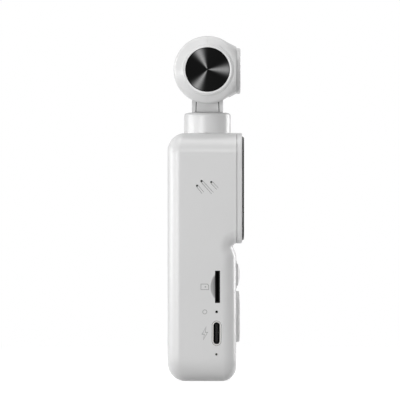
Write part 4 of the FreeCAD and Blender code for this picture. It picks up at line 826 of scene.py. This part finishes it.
class GIMBAL_OT_groove_bars(bpy.types.Operator):
    """Lay a slim bar in each microphone groove, with black lines along both its sides as painted shade of the
    groove's walls
    """

    bl_idname = "gimbal.groove_bars"
    bl_label = "Groove Bars"

    def execute(self, context):
        trim = context.scene.gimbal_trim
        deep = trim.bar_deep
        edge = trim.bar_edge
        crown = trim.bar_crown
        half = trim.groove_radius - trim.groove_shade_line
        bar = ((-half, deep), (-half, edge), (-0.7 * half, crown),
               (0.7 * half, crown), (half, edge), (half, deep))
        bars = bmesh.new()
        shade_lines = bmesh.new()
        for groove in GROOVES:
            groove_strip(bars, groove, trim.bar_span, bar)
            # Painted shade: black lines along both sides of each bar stand for the shade at the groove's
            # walls
            for side in (-1, 1):
                inner, outer, top = side * half, side * trim.groove_radius, -trim.shade_line_proud
                shade_line = ((inner, deep), (inner, top), (outer, top), (outer, deep))
                groove_strip(shade_lines, groove, trim.bar_span, shade_line)
        finished_piece("groove_bars", bars, "grip", "shell")
        finished_piece("groove_seals", shade_lines, "grip", "black_plastic")
        return {"FINISHED"}


# Corners of the bolt sign, across and up in mm from its middle
BOLT = ((0.5, 2.4), (-1.0, -0.35), (-0.15, -0.35), (-0.5, -2.4), (1.0, 0.35), (0.15, 0.35))


class GIMBAL_OT_side_signs(bpy.types.Operator):
    """Print plain signs beside the card slot, the pinhole and the charging socket"""

    bl_idname = "gimbal.side_signs"
    bl_label = "Side Signs"

    def execute(self, context):
        trim = context.scene.gimbal_trim
        width = trim.line_width
        column = trim.sign_column
        level = middle("card_socket").z
        half_wide, half_tall = trim.card_sign
        left, right = column - half_wide, column + half_wide
        low, high = level - half_tall, level + half_tall
        cut = trim.card_cut
        card = bmesh.new()
        outline = ((left, low), (right, low), (right, high - cut), (right - cut, high), (left, high))
        band(card, outline, width, trim.ink_thick)
        dot = arc((column + trim.dot_offset, level), trim.dot_radius, start=0, end=330, steps=11)
        band(card, dot, width, trim.ink_thick)
        finished_piece("card_sign", card, "grip", "printed_ink")
        ring = bmesh.new()
        round_sign = arc((column, middle("reset_plunger").z), trim.reset_sign, start=0, end=345, steps=23)
        band(ring, round_sign, width, trim.ink_thick)
        finished_piece("reset_sign", ring, "grip", "printed_ink")
        bolt = bmesh.new()
        level = middle("usb_socket").z
        band(bolt, [(column + across * MM, level + up * MM) for across, up in BOLT], width, trim.ink_thick)
        finished_piece("charging_sign", bolt, "grip", "printed_ink")
        return {"FINISHED"}


def slot_outline(centre, half_wide, half_tall, corner):
    """Points round an upright slot with rounded corners, across and up."""
    points = []
    for across, up, start in ((1, 1, 0), (-1, 1, 90), (-1, -1, 180), (1, -1, 270)):
        pivot = (centre.x + across * (half_wide - corner), centre.z + up * (half_tall - corner))
        points += arc(pivot, corner, start, start + 90, CORNER_STEPS)
    return points


def well(work, centre, steps, closed=True):
    """Lines an opening: each step is (depth from the side face, half width, half height, corner)."""
    loops = []
    for depth, half_wide, half_tall, corner in steps:
        outline = slot_outline(centre, half_wide, half_tall, corner)
        loops.append([work.verts.new((across, SIDE_FACE + depth, up)) for across, up in outline])
    for outer, inner in zip(loops, loops[1:]):
        join_loops(work, outer, inner)
    if closed:
        work.faces.new(loops[-1])


class GIMBAL_OT_card_shade_lining(bpy.types.Operator):
    """Line the card slot with black plastic as painted shade, down to the way that the card goes in by"""

    bl_idname = "gimbal.card_lining"
    bl_label = "Card Shade Lining"

    def execute(self, context):
        trim = context.scene.gimbal_trim
        low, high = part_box("card_socket")
        thick = trim.shade_lining_thick
        half_wide = trim.slot_half[0] - trim.shade_lining_gap
        half_tall = trim.slot_half[1] - trim.shade_lining_gap
        way = (trim.card_thick / 2, trim.slot_half[1] - 3 * thick, thick / 2)
        deep = low.y - SIDE_FACE
        # Painted shade: black walls in the slot darken it as its depth would
        card = bmesh.new()
        well(card, Vector((trim.slot_centre[0], 0.0, trim.slot_centre[1])), (
            (deep, half_wide, half_tall, thick),
            (trim.shade_lining_inset, half_wide, half_tall, thick),
            (trim.shade_lining_inset, half_wide - thick, half_tall - thick, thick),
            (deep - thick, half_wide - thick, half_tall - thick, thick),
            (deep - thick, *way),
            (high.y - trim.card_stop - SIDE_FACE, *way)))
        finished_piece("card_lining", card, "grip", "black_plastic")
        return {"FINISHED"}


# Section of the socket's rolled lip: depth in shares of the shade linings' inset, and share of the lip's
# width
LIP_SECTION = ((2.0, 0.0), (0.15, 0.0), (0.1, 0.2), (0.3, 0.6), (0.7, 0.9), (1.0, 1.0), (2.0, 1.0))


class GIMBAL_OT_socket_trim(bpy.types.Operator):
    """Give the charging socket its rolled lip, a black line round it as painted shade of the gap there, and a
    black lining as painted shade inside it
    """

    bl_idname = "gimbal.socket_trim"
    bl_label = "Socket Trim"

    def execute(self, context):
        trim = context.scene.gimbal_trim
        centre = middle("usb_socket")
        low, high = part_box("usb_socket")
        gap = trim.shade_lining_gap
        thick = trim.shade_lining_thick
        inset = trim.shade_lining_inset
        mouth = low.y - SIDE_FACE
        radius = (high.x - low.x) / 2 - trim.socket_wall - gap
        half_tall = (high.z - low.z) / 2 - trim.socket_wall - gap
        rolled = bmesh.new()
        steps = []
        for depth, share in LIP_SECTION:
            reach = share * trim.socket_lip
            steps.append((mouth + depth * inset, radius - reach, half_tall - reach, radius - reach))
        well(rolled, centre, steps, closed=False)
        finished_piece("socket_lip", rolled, "grip", "shield_can")
        # Painted shade: a black line on the side face round the socket stands for the shade in the gap there
        shade_line = bmesh.new()
        wall = trim.socket_wall + gap + trim.socket_seal / 2
        outline = slot_outline(centre, radius + wall, half_tall + wall, radius + wall)
        ends = CORNER_STEPS + 1
        outline = [point for index, point in enumerate(outline) if index % ends < CORNER_STEPS]
        band(shade_line, outline, trim.socket_seal, trim.ink_thick)
        finished_piece("socket_seal", shade_line, "grip", "black_plastic")
        # Painted shade: a black lining inside the socket's sheet darkens its inside
        radius -= trim.socket_lip + gap
        half_tall -= trim.socket_lip + gap
        socket = bmesh.new()
        well(socket, centre, (
            (mouth + trim.socket_deep, radius, half_tall, radius),
            (mouth + inset, radius, half_tall, radius),
            (mouth + inset, radius - thick, half_tall - thick, radius - thick),
            (mouth + trim.socket_deep, radius - thick, half_tall - thick, radius - thick)))
        finished_piece("socket_lining", socket, "grip", "black_plastic")
        return {"FINISHED"}


def block(work, spot, size):
    """Box with its middle at a spot."""
    bmesh.ops.create_cube(work, size=1.0, matrix=Matrix.Translation(spot) @ Matrix.Diagonal((*size, 1.0)))


class GIMBAL_OT_socket_contacts(bpy.types.Operator):
    """Sleeve the charging socket's tongue and lay gold contacts on both its faces"""

    bl_idname = "gimbal.socket_contacts"
    bl_label = "Socket Contacts"

    def execute(self, context):
        trim = context.scene.gimbal_trim
        centre = middle("usb_socket")
        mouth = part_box("usb_socket")[0].y
        pitch = trim.contact_pitch
        contacts = bmesh.new()
        for face in (-1, 1):
            for index in range(trim.contact_count):
                up = centre.z + (index - (trim.contact_count - 1) / 2) * pitch
                spot = Vector((centre.x + face * trim.contact_place[0], mouth + trim.contact_place[1], up))
                block(contacts, spot, (*trim.contact_size, pitch / 2))
        bmesh.ops.bevel(contacts, geom=contacts.edges, offset=trim.contact_edge, segments=1, affect="EDGES")
        finished_piece("socket_contacts", contacts, "grip", "contact_gold")
        sleeve = bmesh.new()
        block(sleeve, Vector((centre.x, mouth + trim.tongue_place, centre.z)), trim.tongue_size)
        bmesh.ops.bevel(sleeve, geom=sleeve.edges, offset=trim.tongue_edge, segments=2, affect="EDGES")
        finished_piece("socket_tongue", sleeve, "grip", "black_plastic")
        return {"FINISHED"}


# Section of a microphone's screen: height and radius in mm
SCREEN_SECTION = ((0.0, 0.42), (0.03, 0.36), (0.0, 0.18))


class GIMBAL_OT_microphone_mesh(bpy.types.Operator):
    """Set a woven screen in front of each microphone"""

    bl_idname = "gimbal.microphone_mesh"
    bl_label = "Microphone Mesh"

    def execute(self, context):
        profile = [(rise * MM, radius * MM) for rise, radius in SCREEN_SECTION]
        work = bmesh.new()
        for low, high in solid_boxes("microphones"):
            centre = (low + high) / 2
            rings = lathe(work, profile, Vector((centre.x, low.y - HAIR, centre.z)), (0, -1, 0), steps=24)
            work.faces.new(rings[-1])
        finished_piece("microphone_screens", work, "grip", "woven_mesh")
        return {"FINISHED"}


# Section of one turn of the thread: share of its pitch, and share of its depth from the crests to the roots
THREAD_SECTION = ((0.0, 1.0), (0.42, 0.0), (0.58, 0.0))


class GIMBAL_OT_tripod_thread(bpy.types.Operator):
    """Cut the screw thread that the tripod insert has"""

    bl_idname = "gimbal.tripod_thread"
    bl_label = "Tripod Thread"

    def execute(self, context):
        trim = context.scene.gimbal_trim
        low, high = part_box("tripod_insert")
        outer = high.x
        edge = trim.insert_edge
        root = trim.thread_crest + trim.thread_deep
        top = high.z - trim.thread_blind
        steps = 40
        rows = int((top - low.z) / trim.thread_pitch * steps)
        work = bmesh.new()
        path = []
        for row in range(rows + 1):
            turn = 2 * math.pi * row / steps
            corners = []
            for share, deep in THREAD_SECTION:
                radius = trim.thread_crest + deep * trim.thread_deep
                height = low.z + (row / steps + share - 0.5) * trim.thread_pitch
                height = max(min(height, top), low.z + HAIR)
                corners.append(work.verts.new((radius * math.cos(turn), radius * math.sin(turn), height)))
            path.append(corners)
        for row in range(rows):
            here, after = path[row], path[row + 1]
            for side in range(2):
                work.faces.new((here[side], here[side + 1], after[side + 1], after[side]))
            if row + steps < rows:
                work.faces.new((here[2], path[row + steps][0], path[row + steps + 1][0], after[2]))
        sleeve = ((low.z, root), (low.z, root + edge / 3), (low.z, outer - edge), (low.z + edge, outer),
                  (high.z - edge, outer), (high.z, outer - edge), (high.z, edge * 2 / 3))
        for profile in (sleeve, ((top, root), (top, edge))):
            rings = lathe(work, profile, Vector((0, 0, 0)), (0, 0, 1), steps=48)
            work.faces.new(rings[-1])
        piece = finished_piece("tripod_insert_threaded", work, "grip", "brass")
        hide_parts("tripod_insert")
        return {"FINISHED"}


class GIMBAL_OT_key_dot(bpy.types.Operator):
    """Let a small dot into the rocker key where a finger finds its upper end"""

    bl_idname = "gimbal.key_dot"
    bl_label = "Key Dot"

    def execute(self, context):
        trim = context.scene.gimbal_trim
        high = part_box("rocker_key")[1]
        radius = trim.key_dot
        deep = trim.key_dot_deep
        profile = ((0.0, radius), (deep, radius), (1.3 * deep, radius - 0.7 * deep))
        centre = Vector((high.x - deep, 0.0, high.z - trim.key_dot_drop))
        work = bmesh.new()
        rings = lathe(work, profile, centre, (1, 0, 0), steps=40)
        work.faces.new(rings[-1])
        finished_piece("key_dot", work, "rocker_key", "key_dot")
        return {"FINISHED"}


class GIMBAL_OT_lens_rings(bpy.types.Operator):
    """Stack the stepped baffle rings that are seen through the front glass"""

    bl_idname = "gimbal.lens_rings"
    bl_label = "Lens Rings"

    def execute(self, context):
        trim = context.scene.gimbal_trim
        barrel = middle("lens_barrel")
        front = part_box("lens_barrel")[1].y
        profile = []
        for step in range(trim.baffle_steps):
            depth = front - trim.baffle_start - trim.baffle_deep * step
            profile.append((depth, trim.baffle_radius - trim.baffle_ledge * step))
            profile.append((depth, trim.baffle_radius - trim.baffle_ledge * (step + 1)))
        work = bmesh.new()
        lathe(work, profile, Vector((barrel.x, 0.0, barrel.z)), (0, 1, 0), steps=64)
        finished_piece("lens_baffle", work, "camera", "black_plastic")
        return {"FINISHED"}


# The stage

def studio_paper(studio):
    """Paper that the camera, mirrors and glass see as white, with the object's shadow near it."""
    surface = bpy.data.materials.new("studio_paper")
    surface.use_nodes = True
    surface.node_tree.nodes.clear()
    graph = Graph(surface.node_tree)
    path = graph.add("ShaderNodeLightPath")
    seen = graph.sum("MAXIMUM", path.outputs["Is Camera Ray"], path.outputs["Is Glossy Ray"])
    seen = graph.sum("MAXIMUM", seen, path.outputs["Is Transmission Ray"])
    spot = graph.place()
    colour = opaque(studio.paper_colour)
    tone = graph.blend(graph.noise(spot, 400.0, 2.0), colour, opaque(colour, 0.99))
    matte = graph.add("ShaderNodeBsdfDiffuse", {"Color": tone})
    lift = graph.add("ShaderNodeEmission", {"Color": colour})
    graph.feed(lift.inputs["Strength"], graph.sum("MULTIPLY", seen, studio.paper_glow))
    both = graph.add("ShaderNodeAddShader")
    graph.feed(both.inputs[0], matte.outputs[0])
    graph.feed(both.inputs[1], lift.outputs[0])
    reach = graph.vector("LENGTH", spot).outputs["Value"]
    clear = studio.clear_floor
    far = graph.sum("MULTIPLY", graph.span(reach, clear, 3 * clear, 0.0, 1.0), seen)
    white = graph.add("ShaderNodeEmission", {"Color": (1, 1, 1, 1), "Strength": 1.0})
    blend = graph.add("ShaderNodeMixShader")
    graph.feed(blend.inputs[0], far)
    graph.feed(blend.inputs[1], both.outputs[0])
    graph.feed(blend.inputs[2], white.outputs[0])
    leave = graph.add("ShaderNodeOutputMaterial")
    graph.feed(leave.inputs["Surface"], blend.outputs[0])
    return surface


def studio_world(studio):
    """World that is white in view, in mirrors and through glass, and lights the object softly."""
    world = bpy.data.worlds.new("studio_light")
    world.use_nodes = True
    world.node_tree.nodes.clear()
    graph = Graph(world.node_tree)
    path = graph.add("ShaderNodeLightPath")
    seen = graph.sum("MAXIMUM", path.outputs["Is Camera Ray"], path.outputs["Is Transmission Ray"])
    mirrored = graph.sum("MULTIPLY", path.outputs["Is Glossy Ray"], studio.mirror_white)
    level = graph.span(graph.sum("MAXIMUM", seen, mirrored), 0.0, 1.0, studio.ambient, 1.0)
    back = graph.add("ShaderNodeBackground", {"Color": (1, 1, 1, 1), "Strength": level})
    leave = graph.add("ShaderNodeOutputWorld")
    graph.feed(leave.inputs["Surface"], back.outputs[0])
    return world


# Soft boxes: name, degrees to the left of the camera's line and up, distance, width and height in metres
SOFT_BOXES = (
    ("front", 30, 6, 0.8, (0.3, 0.4)),
    ("left", 92, 5, 0.8, (0.5, 0.6)),
    ("strip", 53, 0, 0.67, (1.19, 0.08)),
    ("brow", 0, 18, 0.8, (0.9, 0.14)),
    ("top", 0, 80, 0.8, (0.7, 0.7)),
    ("rim", -123, 5, 0.8, (0.4, 0.6)),
)


def soft_box(name, left, up, distance, size, strength, target):
    """Soft box, placed by its angles; a strength of 1 is white."""
    data = bpy.data.lights.new(name, "AREA")
    data.shape = "RECTANGLE"
    data.size, data.size_y = size
    data.energy = math.pi * size[0] * size[1] * strength
    lamp = bpy.data.objects.new(name, data)
    lamp.visible_camera = False
    across, rise = math.radians(left), math.radians(up)
    aim = Vector((-math.sin(across) * math.cos(rise), -math.cos(across) * math.cos(rise), math.sin(rise)))
    lamp.location = target + aim * distance
    lamp.rotation_mode = "QUATERNION"
    lamp.rotation_quaternion = (-aim).to_track_quat("-Z", "Y")
    bpy.context.scene.collection.objects.link(lamp)


class GIMBAL_OT_studio(bpy.types.Operator):
    """Set up the floor, the soft boxes and the camera at the photograph's angle"""

    bl_idname = "gimbal.studio"
    bl_label = "Studio"

    def execute(self, context):
        scene = context.scene
        studio = scene.gimbal_studio
        low, high = CAD_BOX
        work = bmesh.new()
        bmesh.ops.create_grid(work, x_segments=8, y_segments=8, size=studio.floor_size / 2)
        floor = bpy.data.objects.new("studio_floor", finished_mesh("studio_floor", work))
        floor.data.materials.append(studio_paper(studio))
        floor.location = (0, 0, low.z - HAIR)
        scene.collection.objects.link(floor)
        scene.world = studio_world(studio)
        for name, left, up, distance, size in SOFT_BOXES:
            soft_box(name + "_box", left, up, distance, size, getattr(studio, name), (low + high) / 2)
        data = bpy.data.cameras.new("view")
        data.lens = data.sensor_width * studio.distance / studio.frame_width
        data.clip_end = 20
        camera = bpy.data.objects.new("view", data)
        camera.location = (studio.frame_centre[0], -studio.distance, studio.frame_centre[1])
        camera.rotation_euler = (math.radians(90), 0, 0)
        scene.collection.objects.link(camera)
        scene.camera = camera
        scene.view_settings.view_transform = "Standard"
        return {"FINISHED"}


# Sizes and colours that a user would change

def length_of(name, description, millimetres, **limits):
    """Length property, with its default in millimetres."""
    return FloatProperty(name=name, description=description, default=millimetres * MM, unit="LENGTH",
                         precision=6, **limits)


def lengths_of(name, description, millimetres):
    """Row of length properties, with its defaults in millimetres."""
    return FloatVectorProperty(name=name, description=description, size=len(millimetres),
                               default=[value * MM for value in millimetres], unit="LENGTH", precision=6)


def colour_of(name, description, default):
    """Colour property."""
    return FloatVectorProperty(name=name, description=description, subtype="COLOR", size=3, min=0, max=1,
                               default=default)


def strength_of(name, description, default):
    """Strength of a light, where 1 is white."""
    return FloatProperty(name=name, description=description, min=0, default=default)


class GimbalLook(bpy.types.PropertyGroup):
    """Colours and finish of the camera"""

    shell_colour: colour_of("Shell Colour", "Moulded white of the housing", (0.715, 0.715, 0.715))
    control_colour: colour_of("Control Colour", "Joystick, keys and their surround", (0.79, 0.79, 0.79))
    shell_roughness: FloatProperty(name="Shell Roughness", description="How matt the housing is",
                                   min=0, max=1, default=0.34, subtype="FACTOR")
    grain_size: length_of("Grain Size", "Size of the moulded grain", 0.22, min=0.05 * MM)
    smooth_angle: FloatProperty(name="Smooth Angle", description="Edges sharper than this stay sharp",
                                subtype="ANGLE", default=math.radians(24))
    disc_colour: colour_of("Disc Colour", "Black of the spun discs", (0.0055, 0.0055, 0.0055))
    # Painted sheen: bright sectors painted into the discs' colour, with their colour, tightness and
    # directions
    disc_painted_sheen: colour_of("Disc Painted Sheen", "Sectors of the discs where the marks shine", (0.24, 0.24, 0.24))
    sheen_width: FloatProperty(name="Painted Sheen Tightness", description="Higher makes the bright sectors narrower",
                               min=1, default=42.0)
    painted_sheen_angles: FloatVectorProperty(name="Painted Sheen Angles", description="Where the bright sectors point",
                                      subtype="EULER", size=3,
                                      default=[math.radians(angle) for angle in (0, 116, 237)])
    ink_colour: colour_of("Ink Colour", "Printed signs on the side", (0.4, 0.4, 0.4))


class GimbalTrim(bpy.types.PropertyGroup):
    """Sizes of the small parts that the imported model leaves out"""

    shell_round: length_of("Shell Round", "Round of the head shell's front edge", 2.7)
    shell_slope: FloatProperty(name="Shell Slope", description="How much the head shell's front leans back",
                               default=0.25)
    nose_end: length_of("Nose End", "Roll axis to where the front no longer leans back, at the nose", 7.5)
    nose_fade: length_of("Nose Fade", "Stretch over which the lean fades towards the nose", 4.0)
    seam_half: length_of("Seam Half Width", "Half of the gap between the shell halves", 0.065)
    seam_deep: length_of("Seam Depth", "How far below the shell's round the strip in its seam lies", 0.2)
    seam_front: length_of("Seam Front", "How far behind the shell's front that strip begins", 0.75)
    seam_back: length_of("Seam Back", "Where that strip ends, from front to back", -5.0)
    seam_tall: length_of("Seam Height", "Shell's round to the strip's inner edge", 1.0)
    seam_root: length_of("Seam Root", "Shell's front to the strip's lower corner", 0.8)
    # Black sheet under the neck's panel, painted shade in the grooves beside it
    shade_sheet_spread: FloatProperty(name="Shade Sheet Spread", description="Shade Sheet's width against the neck panel's",
                                 default=1.075)
    shade_sheet_deep: length_of("Shade Sheet Depth", "How far behind the panel's face the gasket lies", 0.35)
    groove_radius: length_of("Groove Radius", "Round of the microphone grooves", 0.46)
    # Black lines beside the grooves' bars: painted shade of the groove walls
    groove_shade_line: length_of("Groove Shade Line", "Width of the seal on each side of a groove's bar", 0.1)
    bar_span: FloatVectorProperty(name="Bar Span", description="Where a bar begins and ends along its groove",
                                  size=2, default=(0.09, 0.97))
    bar_deep: length_of("Bar Depth", "Side face to the underside of a bar", 0.4)
    bar_edge: length_of("Bar Edge", "Side face to the top of a bar's sides", 0.08)
    bar_crown: length_of("Bar Crown", "Side face to the middle of a bar", 0.03)
    # Height of those painted shade lines
    shade_line_proud: length_of("Shade Line Height", "How proud of the side face the seals stand", 0.004)
    line_width: length_of("Sign Line", "Width of the printed lines", 0.25)
    ink_thick: length_of("Ink Thickness", "How proud the print stands", 0.012)
    sign_column: length_of("Sign Column", "Where the signs stand across the side face", -1.0)
    card_sign: lengths_of("Card Sign", "Half width and half height of the card sign", (1.4, 1.02))
    card_cut: length_of("Card Corner", "Corner that is cut off the card sign", 0.5)
    dot_offset: length_of("Card Dot Place", "Middle of the card sign to its dot", 0.25)
    dot_radius: length_of("Card Dot", "Radius of that dot", 0.17)
    reset_sign: length_of("Reset Sign", "Radius of the ring beside the pinhole", 0.75)
    slot_centre: lengths_of("Slot Centre", "Middle of the card slot, across and up", (3.65, 34.825))
    slot_half: lengths_of("Slot Half Size", "Half width and half height of the card slot", (0.925, 5.905))
    card_thick: length_of("Card Way", "Width of the way that the card goes in by", 0.94)
    card_stop: length_of("Card Stop", "End of that way to the back of the card's socket", 2.0)
    socket_wall: length_of("Socket Wall", "Sheet of the charging socket", 0.32)
    socket_lip: length_of("Socket Lip", "Width of the rolled lip inside the socket's sheet", 0.16)
    # Width of the painted shade line round the socket
    socket_seal: length_of("Socket Seal", "Width of the dark seal round the socket", 0.12)
    socket_deep: length_of("Socket Depth", "Socket's mouth to the end of its lining", 5.0)
    # Sizes of the black linings that are painted shade in the card slot and the socket
    shade_lining_gap: length_of("Shade Lining Gap", "Clearance round a lining", 0.02)
    shade_lining_thick: length_of("Shade Lining Thickness", "Wall of a lining", 0.1)
    shade_lining_inset: length_of("Shade Lining Inset", "How far behind its mouth a lining begins", 0.22)
    contact_count: IntProperty(name="Contacts", description="Contacts on each face of the tongue", min=1,
                               default=12)
    contact_pitch: length_of("Contact Pitch", "Spacing of the contacts", 0.5)
    contact_place: lengths_of("Contact Place", "A contact's middle from the tongue's middle and the mouth",
                              (0.365, 3.3))
    contact_size: lengths_of("Contact Size", "Thickness and length of a contact", (0.04, 3.4))
    contact_edge: length_of("Contact Edge", "Softened edge of a contact", 0.01)
    tongue_place: length_of("Tongue Place", "Socket's mouth to the middle of the tongue's sleeve", 3.6)
    tongue_size: lengths_of("Tongue Size", "Thickness, length and height of that sleeve", (0.75, 5.7, 6.75))
    tongue_edge: length_of("Tongue Edge", "Round of the sleeve's edges", 0.04)
    thread_crest: length_of("Thread Crest", "Radius to the thread's crests", 2.52)
    thread_deep: length_of("Thread Depth", "From the thread's crests to its roots", 0.65)
    thread_pitch: length_of("Thread Pitch", "Rise of the thread in one turn", 1.27)
    thread_blind: length_of("Thread Blind End", "End of the thread to the insert's closed end", 0.9)
    insert_edge: length_of("Insert Edge", "Bevel of the tripod insert's outer edges", 0.3)
    key_dot: length_of("Key Dot", "Radius of the dot in the rocker key", 0.75)
    key_dot_deep: length_of("Key Dot Depth", "How deep the dot is let in", 0.1)
    key_dot_drop: length_of("Key Dot Drop", "Upper end of the key to the dot's middle", 3.0)
    baffle_steps: IntProperty(name="Lens Steps", description="Stepped rings inside the lens", min=1,
                              default=5)
    baffle_radius: length_of("Lens Step Radius", "Radius of the first stepped ring", 2.65)
    baffle_start: length_of("Lens Step Start", "Barrel's front to the first stepped ring", 0.4)
    baffle_deep: length_of("Lens Step Depth", "From one stepped ring back to the next", 0.35)
    baffle_ledge: length_of("Lens Step Ledge", "Width of a stepped ring", 0.22)


class GimbalStudio(bpy.types.PropertyGroup):
    """Floor, lamps and camera"""

    floor_size: length_of("Floor Size", "Side of the floor", 4000)
    paper_colour: colour_of("Paper Colour", "Colour of the floor", (0.5, 0.5, 0.5))
    paper_glow: strength_of("Paper Glow", "Lift that keeps the floor white in view", 1.6)
    clear_floor: length_of("Clear Floor", "Distance at which the floor begins to turn plain white", 120,
                           min=0)
    ambient: strength_of("Ambient", "Light from all round", 0.25)
    mirror_white: strength_of("White In Mirrors", "How white the surroundings are in polished faces", 0.7)
    front: strength_of("Front Box", "Box in front, a little left", 3.1)
    left: strength_of("Left Box", "Box at the left", 3.0)
    strip: strength_of("Strip Box", "Long low box along the left", 4.6)
    brow: strength_of("Brow Box", "Strip above the camera", 2.75)
    top: strength_of("Top Box", "Box overhead", 1.8)
    rim: strength_of("Rim Box", "Box behind on the right", 5.0)
    distance: length_of("Distance", "Camera to the object", 1550)
    frame_width: length_of("Frame Width", "What the picture is wide at the object", 147.64)
    frame_centre: lengths_of("Frame Centre", "Middle of the picture, across and up", (-2.75, 66.57))


class GIMBAL_PT_panel(bpy.types.Panel):
    """Sizes, colours and the steps that dress the camera"""

    bl_label = "Gimbal Camera"
    bl_idname = "GIMBAL_PT_panel"
    bl_space_type = "VIEW_3D"
    bl_region_type = "UI"
    bl_category = "Gimbal Camera"

    def draw(self, context):
        scene = context.scene
        for group in (scene.gimbal_look, scene.gimbal_trim, scene.gimbal_studio):
            box = self.layout.box()
            for name in group.__annotations__:
                box.prop(group, name)
        for step in STEPS:
            self.layout.operator(step.bl_idname)


STEPS = (
    GIMBAL_OT_finishes,
    GIMBAL_OT_smooth_pieces,
    GIMBAL_OT_stepped_ring,
    GIMBAL_OT_head_front,
    GIMBAL_OT_shell_seam,
    GIMBAL_OT_neck_shade_sheet,
    GIMBAL_OT_groove_bars,
    GIMBAL_OT_side_signs,
    GIMBAL_OT_card_shade_lining,
    GIMBAL_OT_socket_trim,
    GIMBAL_OT_socket_contacts,
    GIMBAL_OT_microphone_mesh,
    GIMBAL_OT_tripod_thread,
    GIMBAL_OT_key_dot,
    GIMBAL_OT_lens_rings,
    GIMBAL_OT_studio,
)
GROUPS = (GimbalLook, GimbalTrim, GimbalStudio)


def register():
    for item in (*GROUPS, *STEPS, GIMBAL_PT_panel):
        bpy.utils.register_class(item)
    bpy.types.Scene.gimbal_look = PointerProperty(type=GimbalLook)
    bpy.types.Scene.gimbal_trim = PointerProperty(type=GimbalTrim)
    bpy.types.Scene.gimbal_studio = PointerProperty(type=GimbalStudio)


def unregister():
    del bpy.types.Scene.gimbal_look
    del bpy.types.Scene.gimbal_trim
    del bpy.types.Scene.gimbal_studio
    for item in reversed((*GROUPS, *STEPS, GIMBAL_PT_panel)):
        bpy.utils.unregister_class(item)


def main():
    """Registers the add-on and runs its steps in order."""
    register()
    for step in STEPS:
        group, name = step.bl_idname.split(".")
        getattr(getattr(bpy.ops, group), name)()


if __name__ == "__main__":
    main()
